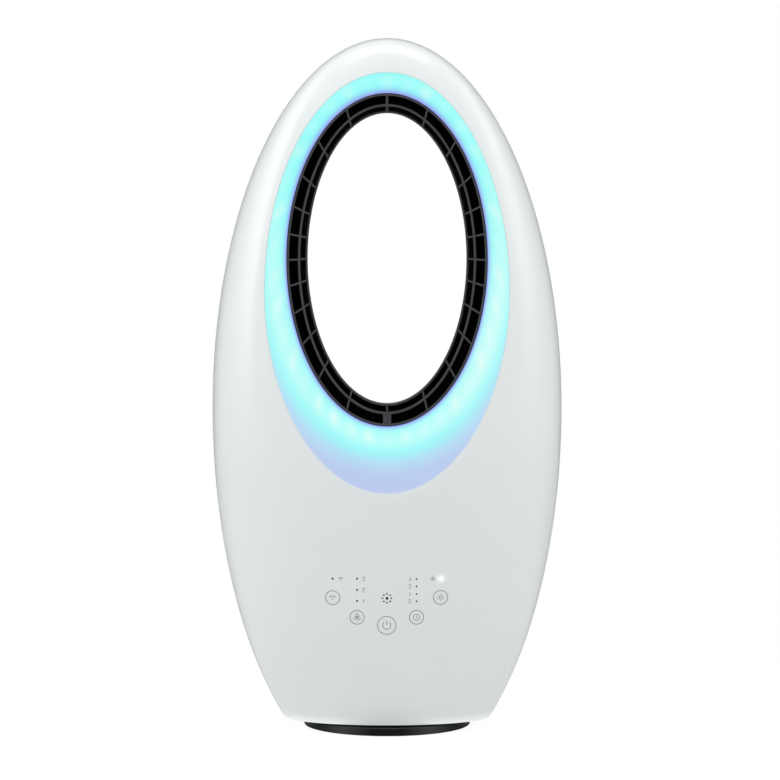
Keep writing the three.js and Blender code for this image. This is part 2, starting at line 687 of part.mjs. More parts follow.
// Superellipse of the rear intake, in the front view.
function intakeOutline(inset) {
  return range(INTAKE_STEPS).map((i) => {
    const angle = (i / INTAKE_STEPS) * 2 * Math.PI;
    const round = (value) => Math.sign(value) * Math.abs(value) ** (2 / INTAKE_POWER);
    return new THREE.Vector2(
      (INTAKE_HALF_WIDTH - inset) * round(Math.cos(angle)),
      INTAKE_Z + (INTAKE_HALF_HEIGHT - inset) * round(Math.sin(angle)),
    );
  });
}

const BEYOND = EGG_HALF_DEPTH + 10; // past the egg's face, for tools that cut or trim

function panelPosts() {
  const frontY = PANEL_Y - BOARD_THICKNESS - FIT_GAP;
  const x = PANEL_WIDTH / 2 - PANEL_POST_RADIUS - 1;
  const up = PANEL_HEIGHT / 2 - PANEL_POST_RADIUS - 1;
  return BOTH_SIDES.flatMap((side) =>
    BOTH_SIDES.map((end) => barY(PANEL_POST_RADIUS, -BEYOND, frontY, side * x, PANEL_Z + end * up)),
  );
}

// Lugs inside one half of the shell: two pairs that the deck rests on, or that rest on the floor plate.
function shellLugs(side) {
  const lug = (x, fromZ) => {
    const inner = side * (eggDepth(x, fromZ, SHELL_WALL) - LUG_REACH);
    const ends = [inner, side * BEYOND].sort((a, b) => a - b);
    return block([x - LUG_WIDTH / 2, ends[0], fromZ], [x + LUG_WIDTH / 2, ends[1], fromZ + LUG_HEIGHT]);
  };
  return BOTH_SIDES.flatMap((end) => [
    lug(end * DECK_LUG_X, DECK_Z - FIT_GAP - LUG_HEIGHT),
    lug(end * FLOOR_LUG_X, FLOOR_TOP_Z + FIT_GAP),
  ]);
}

function frontShell() {
  const bosses = SCREW_PLACES.map(([x, z]) => barY(BOSS_RADIUS, -BEYOND, -FIT_GAP / 2, x, z));
  const stands = join(...bosses, ...panelPosts(), ...shellLugs(-1));
  const supports = stands.intersect(shellSpace(-1, LIGHT_OPENING));
  const bores = SCREW_PLACES.map(([x, z]) => barY(SCREW_RADIUS + FIT_GAP, -SCREW_LENGTH, 0, x, z));
  return cut(join(halfShell(-1, LIGHT_OPENING), supports), ...bores);
}

function rearShell() {
  const wellRadius = SCREW_HEAD_RADIUS + FIT_GAP;
  const wells = SCREW_PLACES.map(([x, z]) => barY(wellRadius + WELL_WALL, FIT_GAP / 2, BEYOND, x, z));
  const supports = join(...wells, ...shellLugs(1)).intersect(shellSpace(1, REAR_OPENING));
  const heads = SCREW_PLACES.map(([x, z]) => barY(wellRadius, WELL_SEAT_Y, BEYOND, x, z));
  const shanks = SCREW_PLACES.map(([x, z]) => barY(SCREW_RADIUS + FIT_GAP, 0, WELL_SEAT_Y + 1, x, z));
  const window = prismY(intakeOutline(0), SOCKET_Y - SOCKET_DEPTH, BEYOND);
  const halfWidth = SOCKET_WIDTH / 2 + EDGE_GAP;
  const halfHeight = SOCKET_HEIGHT / 2 + EDGE_GAP;
  const socketHole = block(
    [-halfWidth, SOCKET_Y - SOCKET_DEPTH, SOCKET_Z - halfHeight],
    [halfWidth, BEYOND, SOCKET_Z + halfHeight],
  );
  return cut(join(halfShell(1, REAR_OPENING), supports), ...heads, ...shanks, window, socketHole);
}

function intakeGrille() {
  const skin = eggHalf(1, INTAKE_STEP).subtract(eggHalf(1, INTAKE_STEP + INTAKE_WALL));
  const panel = skin.intersect(prismY(intakeOutline(EDGE_GAP), SOCKET_Y - SOCKET_DEPTH, BEYOND));
  const reach = INTAKE_HALF_HEIGHT - INTAKE_BORDER - INTAKE_SLOT_HEIGHT / 2;
  const rows = Math.floor(reach / INTAKE_SLOT_PITCH);
  const slots = range(2 * rows + 1).flatMap((i) => {
    const up = (i - rows) * INTAKE_SLOT_PITCH;
    const edge = Math.abs(up) + INTAKE_SLOT_HEIGHT / 2;
    const share = (1 - (edge / INTAKE_HALF_HEIGHT) ** INTAKE_POWER) ** (1 / INTAKE_POWER);
    const end = INTAKE_HALF_WIDTH * share - INTAKE_BORDER;
    return BOTH_SIDES.map((side) => {
      const ends = [(side * INTAKE_SPINE) / 2, side * end].sort((a, b) => a - b);
      const half = INTAKE_SLOT_HEIGHT / 2;
      return block([ends[0], 0, INTAKE_Z + up - half], [ends[1], BEYOND, INTAKE_Z + up + half]);
    });
  });
  return cut(panel, ...slots);
}

// ---------------------------------------------------------------- base and swivel
const HUB_TOP_Z = FLOOR_TUBE_TOP_Z + FIT_GAP + GEAR_THICKNESS;
const GEAR_Z = FLOOR_TUBE_TOP_Z + FIT_GAP;
const PLATE_TOP_Z = BASE_BOTTOM_Z + BASE_PLATE_THICKNESS;
const BASE_SCREW_SEAT_Z = BASE_BOTTOM_Z + BASE_SCREW_RECESS;
const GEAR_CENTRES = (GEAR_MODULE * (GEAR_TEETH + PINION_TEETH)) / 2;
const FLOOR_TOP_Z = SHELL_BOTTOM_Z + FLOOR_THICKNESS;

const onCircle = (radius, share) => [
  radius * Math.cos(share * 2 * Math.PI),
  radius * Math.sin(share * 2 * Math.PI),
];

function baseShell() {
  const innerRadius = BASE_RADIUS - BASE_WALL;
  const ceiling = BASE_TOP_Z - BASE_TOP_WALL;
  const body = turned(
    [
      [innerRadius, BASE_BOTTOM_Z],
      [BASE_RADIUS - BASE_EDGE, BASE_BOTTOM_Z],
      [BASE_RADIUS, BASE_BOTTOM_Z + BASE_EDGE],
      [BASE_RADIUS, BASE_TOP_Z - BASE_EDGE],
      [BASE_RADIUS - BASE_EDGE, BASE_TOP_Z],
      [HUB_RADIUS, BASE_TOP_Z],
      [HUB_RADIUS, HUB_TOP_Z],
      [HUB_BORE, HUB_TOP_Z],
      [HUB_BORE, ceiling],
      [innerRadius, ceiling],
    ],
    BASE_STEPS,
  );
  const posts = range(BASE_SCREW_COUNT).map((i) => {
    const [x, y] = onCircle(BASE_SCREW_CIRCLE, (i + 0.5) / BASE_SCREW_COUNT);
    return barZ(BOSS_RADIUS - 1, PLATE_TOP_Z + FIT_GAP, BASE_TOP_Z - BASE_TOP_WALL / 2, x, y);
  });
  const bores = range(BASE_SCREW_COUNT).map((i) => {
    const [x, y] = onCircle(BASE_SCREW_CIRCLE, (i + 0.5) / BASE_SCREW_COUNT);
    return barZ(SCREW_RADIUS + FIT_GAP / 2, 0, BASE_TOP_Z - BASE_TOP_WALL / 2, x, y);
  });
  const key = block(
    [HUB_RADIUS - 1, -KEY_WIDTH / 2, GEAR_Z],
    [HUB_RADIUS + KEY_HEIGHT, KEY_WIDTH / 2, HUB_TOP_Z],
  );
  return cut(join(body, ...posts, key), ...bores);
}

function baseBottom() {
  const disc = barZ(BASE_RADIUS - BASE_WALL - FIT_GAP, BASE_BOTTOM_Z, PLATE_TOP_Z, 0, 0, BASE_STEPS);
  const footSeats = range(FOOT_COUNT).map((i) => {
    const [x, y] = onCircle(FOOT_CIRCLE, (i + 0.5) / FOOT_COUNT);
    return barZ(FOOT_RADIUS + FIT_GAP, 0, FOOT_THICKNESS + FIT_GAP / 2, x, y, ROUND_STEPS);
  });
  const screwHoles = range(BASE_SCREW_COUNT).flatMap((i) => {
    const [x, y] = onCircle(BASE_SCREW_CIRCLE, (i + 0.5) / BASE_SCREW_COUNT);
    return [
      barZ(SCREW_RADIUS + FIT_GAP, 0, PLATE_TOP_Z + 1, x, y),
      barZ(SCREW_HEAD_RADIUS + FIT_GAP, 0, BASE_SCREW_SEAT_Z, x, y),
    ];
  });
  return cut(disc, ...footSeats, ...screwHoles);
}

function baseWeight() {
  const z = PLATE_TOP_Z + FIT_GAP;
  const outline = circle(BASE_RADIUS - BASE_WALL - 2, BASE_STEPS);
  const holes = range(BASE_SCREW_COUNT).map((i) =>
    circle(BOSS_RADIUS, SMALL_STEPS, ...onCircle(BASE_SCREW_CIRCLE, (i + 0.5) / BASE_SCREW_COUNT)),
  );
  return plate(outline, z, z + WEIGHT_THICKNESS, [circle(HUB_RADIUS, ROUND_STEPS), ...holes]);
}

// Half the angle that a tooth takes up at a radius, from the involute of its base circle.
function toothHalfAngle(radius, teeth) {
  const pitch = (GEAR_MODULE * teeth) / 2;
  const baseRadius = pitch * Math.cos(GEAR_PRESSURE_ANGLE);
  const involute = (angle) => Math.tan(angle) - angle;
  const here = Math.acos(Math.min(1, baseRadius / Math.max(radius, baseRadius)));
  const thinned = GEAR_BACKLASH / 4 / pitch;
  return Math.PI / (2 * teeth) + involute(GEAR_PRESSURE_ANGLE) - involute(here) - thinned;
}

function gearOutline(teeth, phase) {
  const pitch = (GEAR_MODULE * teeth) / 2;
  const radii = [-1.25, 0, 1].map((step) => pitch + step * GEAR_MODULE);
  return range(teeth).flatMap((tooth) => {
    const middle = phase + (tooth / teeth) * 2 * Math.PI;
    const flank = (side) => radii.map((r) => [r, middle + side * toothHalfAngle(r, teeth)]);
    return [...flank(-1), ...flank(1).reverse()].map(
      ([r, angle]) => new THREE.Vector2(r * Math.cos(angle), r * Math.sin(angle)),
    );
  });
}

// The fixed gear, keyed on the base's hub, with the lug that ends the swing.
function swingGear() {
  const gear = plate(gearOutline(GEAR_TEETH, -Math.PI / 2), GEAR_Z, GEAR_Z + GEAR_THICKNESS, [
    circle(HUB_RADIUS + FIT_GAP, ROUND_STEPS),
  ]);
  const half = STOP_LUG_WIDTH / 2;
  const pitch = (GEAR_MODULE * GEAR_TEETH) / 2;
  const lug = block(
    [-half, pitch - 2 * GEAR_MODULE, GEAR_Z],
    [half, STOP_RADIUS + STOP_POST_RADIUS, GEAR_Z + GEAR_THICKNESS],
  );
  const slot = KEY_WIDTH / 2 + FIT_GAP;
  const keyway = block(
    [HUB_RADIUS - 1, -slot, GEAR_Z - 1],
    [HUB_RADIUS + KEY_HEIGHT + FIT_GAP, slot, HUB_TOP_Z + 1],
  );
  return cut(join(gear, lug), keyway);
}

function swingPinion() {
  const outline = gearOutline(PINION_TEETH, Math.PI / 2 + Math.PI / PINION_TEETH);
  const teeth = plate(outline, GEAR_Z, GEAR_Z + GEAR_THICKNESS);
  const shaftTop = SWING_MOTOR_Z + SWING_SHAFT_REACH;
  const shaft = barZ(SWING_SHAFT_RADIUS, GEAR_Z + 1, shaftTop, 0, 0, ROUND_STEPS);
  return join(teeth, shaft).translate([0, -GEAR_CENTRES, 0]);
}

function swingMotor() {
  const y = -GEAR_CENTRES;
  const canTop = SWING_MOTOR_Z + SWING_MOTOR_HEIGHT;
  const can = barZ(SWING_MOTOR_RADIUS, SWING_MOTOR_Z, canTop, 0, y, ROUND_STEPS);
  const earTop = SWING_MOTOR_Z + SWING_EAR_THICKNESS;
  const bar = block(
    [-SWING_EAR_OFFSET, y - SWING_EAR_RADIUS, SWING_MOTOR_Z],
    [SWING_EAR_OFFSET, y + SWING_EAR_RADIUS, earTop],
  );
  const earPlaces = BOTH_SIDES.map((side) => side * SWING_EAR_OFFSET);
  const ears = earPlaces.map((x) => barZ(SWING_EAR_RADIUS, SWING_MOTOR_Z, earTop, x, y));
  const holes = earPlaces.map((x) => barZ(SCREW_RADIUS + FIT_GAP, 0, earTop + 1, x, y));
  const boreTop = SWING_MOTOR_Z + SWING_SHAFT_REACH + SWING_SHAFT_END_GAP;
  const bore = barZ(SWING_SHAFT_RADIUS + RUN_GAP, SWING_MOTOR_Z - 1, boreTop, 0, y, ROUND_STEPS);
  return cut(join(can, bar, ...ears), ...holes, bore);
}

// The body's floor: it turns on the base's hub, and carries the swing motor and the power board.
function floorPlate() {
  const bore = HUB_RADIUS + RUN_GAP;
  const tubeRadius = bore + FLOOR_TUBE_WALL;
  const outline = eggSection(SHELL_BOTTOM_Z, SHELL_WALL + PLATE_GAP, 2 * UNDERSIDE_STEPS);
  const sheet = plate(outline, SHELL_BOTTOM_Z, FLOOR_TOP_Z, [circle(bore, ROUND_STEPS)]);
  const tube = turned(
    [
      [bore, SHELL_BOTTOM_Z],
      [tubeRadius, SHELL_BOTTOM_Z],
      [tubeRadius, FLOOR_TUBE_TOP_Z],
      [bore, FLOOR_TUBE_TOP_Z],
    ],
    ROUND_STEPS,
  );
  const footing = FLOOR_TOP_Z - 1;
  const motorPosts = BOTH_SIDES.map((side) =>
    barZ(BOSS_RADIUS, footing, SWING_MOTOR_Z - FIT_GAP, side * SWING_EAR_OFFSET, -GEAR_CENTRES),
  );
  const motorBores = BOTH_SIDES.map((side) =>
    barZ(SCREW_RADIUS + FIT_GAP / 2, FLOOR_TOP_Z, SWING_MOTOR_Z, side * SWING_EAR_OFFSET, -GEAR_CENTRES),
  );
  const boardPosts = powerBoardCorners().map(([x, y]) =>
    barZ(POWER_POST_RADIUS, footing, POWER_BOARD_Z - FIT_GAP, x, y),
  );
  const lugAngle = Math.asin(STOP_LUG_WIDTH / 2 / STOP_RADIUS);
  const postAngle = Math.asin((STOP_POST_RADIUS + RUN_GAP) / STOP_RADIUS);
  const stopPosts = BOTH_SIDES.map((side) => {
    const share = 0.25 + (side * (SWING_EACH_WAY + lugAngle + postAngle)) / (2 * Math.PI);
    return barZ(STOP_POST_RADIUS, footing, GEAR_Z + GEAR_THICKNESS, ...onCircle(STOP_RADIUS, share));
  });
  return cut(join(sheet, tube, ...motorPosts, ...boardPosts, ...stopPosts), ...motorBores);
}

function slipRing() {
  const from = BASE_TOP_Z + FIT_GAP;
  const to = SHELL_BOTTOM_Z - FIT_GAP;
  return turned([
    [SLIP_RING_RADIUS - SLIP_RING_WIDTH, from],
    [SLIP_RING_RADIUS, from],
    [SLIP_RING_RADIUS, to],
    [SLIP_RING_RADIUS - SLIP_RING_WIDTH, to],
  ]);
}

function pivotWasher() {
  const z = HUB_TOP_Z + FIT_GAP;
  return turned([
    [HUB_BORE + FIT_GAP, z],
    [PIVOT_WASHER_RADIUS, z],
    [PIVOT_WASHER_RADIUS, z + PIVOT_WASHER_THICKNESS],
    [HUB_BORE + FIT_GAP, z + PIVOT_WASHER_THICKNESS],
  ]);
}

// ---------------------------------------------------------------- blower
const DUCT_TOP_Z = DECK_Z - FIT_GAP;
const BLOWER_SCREW_Z = DUCT_TOP_Z - DUCT_FLANGE_THICKNESS - FIT_GAP;
const blowerScrewPlaces = range(BLOWER_SCREW_COUNT).map((i) =>
  onCircle(BLOWER_SCREW_CIRCLE, (i + 0.25) / BLOWER_SCREW_COUNT),
);

// Divides the intake chamber from the pressurised loop.
function deckPlate() {
  const outline = eggSection(DECK_Z, SHELL_WALL + PLATE_GAP, SEAM_STEPS);
  const sheet = plate(outline, DECK_Z, DECK_Z + DECK_THICKNESS, [circle(DUCT_RADIUS, ROUND_STEPS)]);
  const above = DECK_Z + DECK_THICKNESS + 1;
  const bores = blowerScrewPlaces.map(([x, y]) => barZ(SCREW_RADIUS + FIT_GAP, 0, above, x, y));
  return cut(sheet, ...bores);
}

function inletBell() {
  const top = DUCT_BOTTOM_Z - FIT_GAP;
  const curve = range(5).map((i) => {
    const angle = (i / 4) * (Math.PI / 2);
    return [DUCT_RADIUS + BELL_FLARE * (1 - Math.cos(angle)), top - BELL_HEIGHT * Math.sin(angle)];
  });
  const outer = [...curve].reverse().map(([r, z]) => [r + DUCT_WALL, z]);
  return turned([...curve, ...outer]);
}

// One vane between the motor cup and the duct wall, leaning against the impeller's twist.
function stationaryVane(index) {
  const from = CUP_RADIUS - CUP_WALL / 2;
  const to = DUCT_RADIUS + DUCT_WALL / 2;
  const height = CUP_TOP_Z - CUP_BOTTOM_Z - 2 * VANE_END_GAP;
  const blade = new THREE.BoxGeometry(to - from, VANE_THICKNESS, height);
  blade.rotateX(VANE_LEAN).translate((from + to) / 2, 0, (CUP_TOP_Z + CUP_BOTTOM_Z) / 2);
  return solid(blade.rotateZ((index / VANE_COUNT) * 2 * Math.PI));
}

// The duct wall, the vanes and the motor's cup, moulded in one.
function diffuser() {
  const outer = DUCT_RADIUS + DUCT_WALL;
  const duct = turned([
    [DUCT_RADIUS, DUCT_BOTTOM_Z],
    [outer, DUCT_BOTTOM_Z],
    [outer, DUCT_TOP_Z - DUCT_FLANGE_THICKNESS],
    [DUCT_FLANGE_RADIUS, DUCT_TOP_Z - DUCT_FLANGE_THICKNESS],
    [DUCT_FLANGE_RADIUS, DUCT_TOP_Z],
    [DUCT_RADIUS, DUCT_TOP_Z],
  ]);
  const cup = turned([
    [BEARING_RADIUS, CUP_BOTTOM_Z],
    [CUP_RADIUS, CUP_BOTTOM_Z],
    [CUP_RADIUS, CUP_TOP_Z],
    [CUP_RADIUS - CUP_WALL, CUP_TOP_Z],
    [CUP_RADIUS - CUP_WALL, CUP_BOTTOM_Z + CUP_WALL],
    [BEARING_RADIUS, CUP_BOTTOM_Z + CUP_WALL],
  ]);
  const bores = blowerScrewPlaces.map(([x, y]) =>
    barZ(SCREW_RADIUS + FIT_GAP, DUCT_BOTTOM_Z, DECK_Z, x, y),
  );
  return cut(join(duct, cup, ...range(VANE_COUNT).map(stationaryVane)), ...bores);
}

// The motor's can, open at the top, with the seat of its lower bearing.
function motorHousing() {
  const inner = MOTOR_RADIUS - MOTOR_WALL;
  const seat = BEARING_RADIUS + FIT_GAP;
  return turned([
    [MOTOR_SHAFT_RADIUS + 1, MOTOR_BOTTOM_Z],
    [MOTOR_RADIUS, MOTOR_BOTTOM_Z],
    [MOTOR_RADIUS, MOTOR_TOP_Z],
    [inner, MOTOR_TOP_Z],
    [inner, MOTOR_BOTTOM_Z + MOTOR_WALL],
    [seat + MOTOR_WALL, MOTOR_BOTTOM_Z + MOTOR_WALL],
    [seat + MOTOR_WALL, MOTOR_BOTTOM_Z + MOTOR_WALL + BEARING_HEIGHT],
    [seat, MOTOR_BOTTOM_Z + MOTOR_WALL + BEARING_HEIGHT],
    [seat, MOTOR_BOTTOM_Z + MOTOR_WALL],
    [MOTOR_SHAFT_RADIUS + 1, MOTOR_BOTTOM_Z + MOTOR_WALL],
  ]);
}

// Closes the can, and holds the upper bearing.
function motorEndCap() {
  const z = MOTOR_TOP_Z + FIT_GAP;
  const seat = BEARING_RADIUS + FIT_GAP;
  return turned([
    [MOTOR_SHAFT_RADIUS + 1, z],
    [seat, z],
    [seat, z - BEARING_HEIGHT],
    [seat + MOTOR_WALL, z - BEARING_HEIGHT],
    [seat + MOTOR_WALL, z],
    [MOTOR_RADIUS, z],
    [MOTOR_RADIUS, z + MOTOR_WALL],
    [MOTOR_SHAFT_RADIUS + 1, z + MOTOR_WALL],
  ]);
}

function ringAbout(innerRadius, outerRadius, fromZ, toZ) {
  return turned([
    [innerRadius, fromZ],
    [outerRadius, fromZ],
    [outerRadius, toZ],
    [innerRadius, toZ],
  ]);
}

// Rounds the flow off behind the motor's cup.
function tailCone() {
  const z = CUP_TOP_Z + FIT_GAP;
  const curve = range(5).map((i) => {
    const angle = (i / 4) * (Math.PI / 2);
    return [CUP_RADIUS * Math.cos(angle), z + TAIL_CONE_RIM + TAIL_CONE_RISE * Math.sin(angle)];
  });
  curve[curve.length - 1][0] = 0;
  return turned([[0, z + CUP_WALL], [CUP_RADIUS - CUP_WALL, z], [CUP_RADIUS, z], ...curve]);
}

// One blade: a thin sheet that sweeps round the hub as it rises, from the hub to just inside the duct.
function impellerBlade(index) {
  const steps = 4;
  const tip = DUCT_RADIUS - IMPELLER_TIP_GAP;
  const bottom = IMPELLER_BOTTOM_Z + BLADE_END_GAP;
  const top = IMPELLER_TOP_Z - BLADE_END_GAP;
  const rows = range(steps + 1).map((i) => {
    const along = i / steps;
    const z = bottom + (top - bottom) * along;
    const hub = IMPELLER_HUB_BOTTOM_RADIUS + (IMPELLER_HUB_TOP_RADIUS - IMPELLER_HUB_BOTTOM_RADIUS) * along;
    const angle = (index / IMPELLER_BLADES) * 2 * Math.PI + BLADE_SWEEP * along;
    const corner = (radius, side) => {
      const turn = angle + (side * BLADE_THICKNESS) / 2 / radius;
      return new THREE.Vector3(radius * Math.cos(turn), radius * Math.sin(turn), z);
    };
    const root = hub - BLADE_ROOT_DEPTH;
    return [corner(root, -1), corner(tip, -1), corner(tip, 1), corner(root, 1)];
  });
  const points = rows.flat();
  const last = steps * 4;
  const faces = [0, 1, 2, 0, 2, 3, last, last + 2, last + 1, last, last + 3, last + 2];
  for (let i = 0; i < steps; i++)
    for (let j = 0; j < 4; j++) {
      const a = i * 4 + j;
      const b = i * 4 + ((j + 1) % 4);
      faces.push(a, a + 4, b + 4, a, b + 4, b);
    }
  return solid(new THREE.BufferGeometry().setFromPoints(points).setIndex(faces));
}

function impeller() {
  const bore = MOTOR_SHAFT_RADIUS + FIT_GAP;
  const hub = turned([
    [bore, IMPELLER_BOTTOM_Z],
    [IMPELLER_HUB_BOTTOM_RADIUS, IMPELLER_BOTTOM_Z],
    [IMPELLER_HUB_TOP_RADIUS, IMPELLER_TOP_Z],
    [bore, IMPELLER_TOP_Z],
  ]);
  return join(hub, ...range(IMPELLER_BLADES).map(impellerBlade));
}

// ---------------------------------------------------------------- electronics
function controlBoard() {
  const frontY = PANEL_Y - BOARD_THICKNESS;
  const low = PANEL_Z - PANEL_HEIGHT / 2;
  const board = block([-PANEL_WIDTH / 2, frontY, low], [PANEL_WIDTH / 2, PANEL_Y, low + PANEL_HEIGHT]);
  const parts = PANEL_PARTS.map(([fromX, toX, height, halfDepth]) =>
    block(
      [fromX, PANEL_Y - SOLDER_DEPTH, PANEL_Z - halfDepth],
      [toX, PANEL_Y + height, PANEL_Z + halfDepth],
    ),
  );
  return join(board, ...parts);
}

// A sprung contact that touches the inside of the shell behind a printed key.
function touchPad(x, z, radius) {
  const depths = [0, 1, 2, 3].map((quarter) => {
    const angle = (quarter * Math.PI) / 2;
    return eggDepth(x + radius * Math.cos(angle), z + radius * Math.sin(angle), SHELL_WALL);
  });
  const frontY = TOUCH_TIP_GAP - Math.min(...depths);
  const rearY = PANEL_Y - BOARD_THICKNESS - FIT_GAP;
  return barY(radius * 0.9, frontY, rearY, x, z, SMALL_STEPS);
}

function powerBoardCorners() {
  const x = POWER_BOARD_WIDTH / 2 - POWER_POST_RADIUS - 1;
  const y = POWER_BOARD_DEPTH / 2 - POWER_POST_RADIUS - 1;
  return BOTH_SIDES.flatMap((side) => BOTH_SIDES.map((end) => [side * x, POWER_BOARD_Y + end * y]));
}

function powerBoard() {
  const top = POWER_BOARD_Z + BOARD_THICKNESS;
  const low = [-POWER_BOARD_WIDTH / 2, POWER_BOARD_Y - POWER_BOARD_DEPTH / 2, POWER_BOARD_Z];
  const high = [POWER_BOARD_WIDTH / 2, POWER_BOARD_Y + POWER_BOARD_DEPTH / 2, top];
  const foot = top - SOLDER_DEPTH;
  const boxes = [TRANSFORMER, RELAY].map(([fromX, toX, height, halfDepth]) =>
    block([fromX, POWER_BOARD_Y - halfDepth, foot], [toX, POWER_BOARD_Y + halfDepth, top + height]),
  );
  const capacitor = barZ(CAPACITOR_RADIUS, foot, top + CAPACITOR_HEIGHT, CAPACITOR_X, POWER_BOARD_Y);
  return join(block(low, high), ...boxes, capacitor);
}

// A two-pin mains inlet, open to the back.
function powerInlet() {
  const halfWidth = SOCKET_WIDTH / 2;
  const halfHeight = SOCKET_HEIGHT / 2;
  const frontY = SOCKET_Y - SOCKET_DEPTH;
  const body = block(
    [-halfWidth, frontY, SOCKET_Z - halfHeight],
    [halfWidth, SOCKET_Y, SOCKET_Z + halfHeight],
  );
  const floorY = frontY + SOCKET_WALL;
  const well = block(
    [-halfWidth + 2 * SOCKET_WALL, floorY, SOCKET_Z - halfHeight + 2 * SOCKET_WALL],
    [halfWidth - 2 * SOCKET_WALL, BEYOND, SOCKET_Z + halfHeight - 2 * SOCKET_WALL],
  );
  const pins = BOTH_SIDES.map((side) => {
    const x = (side * SOCKET_PIN_SPACING) / 2;
    return barY(SOCKET_PIN_RADIUS, floorY - 1, floorY + SOCKET_PIN_LENGTH, x, SOCKET_Z);
  });
  return join(cut(body, well), ...pins);
}

// The short internal lead from the inlet up to the power board.
function inletLead() {
  const start = SOCKET_Y - SOCKET_DEPTH - FIT_GAP;
  const riser = start - LEAD_BEND;
  const route = new THREE.CatmullRomCurve3([
    new THREE.Vector3(0, start, SOCKET_Z),
    new THREE.Vector3(0, start - LEAD_BEND / 2, SOCKET_Z),
    new THREE.Vector3(0, riser, SOCKET_Z + 0.6 * LEAD_BEND),
    new THREE.Vector3(0, riser, POWER_BOARD_Z - 0.6 * LEAD_BEND),
    new THREE.Vector3(0, riser, POWER_BOARD_Z - FIT_GAP),
  ]);
  const section = new THREE.Shape(circle(LEAD_RADIUS));
  return solid(new THREE.ExtrudeGeometry(section, { steps: 12, extrudePath: route, bevelEnabled: false }));
}

// ---------------------------------------------------------------- assembly
add("front_shell", frontShell(), WHITE_GLOSS);
add("rear_shell", rearShell(), WHITE_GLOSS);
add("light_ring", lightRing(), CLEAR_GLOW);
add("led_board", ledBoard(), BOARD_WHITE);
add("outlet_grille", outletGrille(), BLACK_SATIN);
add("outlet_channel", outletChannel(), BLACK_SATIN);
add("throat_sleeve", throatSleeve(), WHITE_GLOSS);
add("intake_grille", intakeGrille(), WHITE_GLOSS);

SCREW_PLACES.forEach(([x, z], i) => {
  const screw = panHead(SCREW_LENGTH).rotate([-90, 0, 0]);
  add(`shell_screw_${i + 1}`, screw.translate([x, WELL_SEAT_Y + FIT_GAP, z]), STEEL);
});

add("base_shell", baseShell(), BLACK_GLOSS);
add("base_bottom", baseBottom(), BLACK_SATIN);
add("base_weight", baseWeight(), STEEL);
range(FOOT_COUNT).forEach((i) => {
  const [x, y] = onCircle(FOOT_CIRCLE, (i + 0.5) / FOOT_COUNT);
  add(`foot_${i + 1}`, barZ(FOOT_RADIUS, 0, FOOT_THICKNESS - FIT_GAP / 2, x, y, ROUND_STEPS), RUBBER);
});
range(BASE_SCREW_COUNT).forEach((i) => {
  const [x, y] = onCircle(BASE_SCREW_CIRCLE, (i + 0.5) / BASE_SCREW_COUNT);
  const profile = screwProfile(SCREW_HEAD_RADIUS, BASE_SCREW_HEAD, SCREW_RADIUS, BASE_SCREW_LENGTH);
  const screw = turned(profile, SMALL_STEPS);
  add(`base_screw_${i + 1}`, fromBelow(screw, BASE_SCREW_SEAT_Z - FIT_GAP, x, y), STEEL);
});
add("slip_ring", slipRing(), NYLON);
add("swing_gear", swingGear(), NYLON);
add("pivot_washer", pivotWasher(), STEEL);
const pivotScrewZ = HUB_TOP_Z + 2 * FIT_GAP + PIVOT_WASHER_THICKNESS;
const pivotProfile = screwProfile(
  PIVOT_SCREW_HEAD_RADIUS,
  PIVOT_SCREW_HEAD_HEIGHT,
  HUB_BORE - FIT_GAP,
  PIVOT_SCREW_LENGTH,
);
add("pivot_screw", turned(pivotProfile, SMALL_STEPS).translate([0, 0, pivotScrewZ]), STEEL);

add("floor_plate", floorPlate(), WHITE_INNER);
add("swing_motor", swingMotor(), STEEL);
BOTH_SIDES.forEach((side, i) => {
  const screw = panHead(SWING_SCREW_LENGTH);
  const z = SWING_MOTOR_Z + SWING_EAR_THICKNESS + FIT_GAP;
  add(`swing_motor_screw_${i + 1}`, screw.translate([side * SWING_EAR_OFFSET, -GEAR_CENTRES, z]), STEEL);
});
add("swing_pinion", swingPinion(), NYLON);

add("deck_plate", deckPlate(), WHITE_INNER);
add("inlet_bell", inletBell(), BLACK_SATIN);
add("diffuser", diffuser(), BLACK_SATIN);
blowerScrewPlaces.forEach(([x, y], i) => {
  const screw = panHead(BLOWER_SCREW_LENGTH);
  add(`blower_screw_${i + 1}`, fromBelow(screw, BLOWER_SCREW_Z, x, y), STEEL);
});
add("motor_housing", motorHousing(), STEEL);
add("motor_end_cap", motorEndCap(), STEEL);
const coreZ = (MOTOR_BOTTOM_Z + MOTOR_TOP_Z - CORE_HEIGHT) / 2;
const canInner = MOTOR_RADIUS - MOTOR_WALL - FIT_GAP;
add("stator_core", ringAbout(CORE_RADIUS, canInner, coreZ, coreZ + CORE_HEIGHT), COPPER_CORE);
const shaftHole = MOTOR_SHAFT_RADIUS + FIT_GAP;
const rotorRadius = CORE_RADIUS - CORE_AIR_GAP;
add("rotor_core", ringAbout(shaftHole, rotorRadius, coreZ, coreZ + CORE_HEIGHT), COPPER_CORE);
const lowerBearingZ = MOTOR_BOTTOM_Z + MOTOR_WALL + FIT_GAP;
const bearing = (z) => ringAbout(shaftHole, BEARING_RADIUS, z, z + BEARING_HEIGHT);
add("bearing_lower", bearing(lowerBearingZ), STEEL);
add("bearing_upper", bearing(MOTOR_TOP_Z - BEARING_HEIGHT), STEEL);
const isolatorZ = coreZ + (CORE_HEIGHT - ISOLATOR_HEIGHT) / 2;
const cupInner = CUP_RADIUS - CUP_WALL - FIT_GAP;
const isolator = ringAbout(MOTOR_RADIUS + FIT_GAP, cupInner, isolatorZ, isolatorZ + ISOLATOR_HEIGHT);
add("motor_isolator", isolator, RUBBER);
add("tail_cone", tailCone(), BLACK_SATIN);
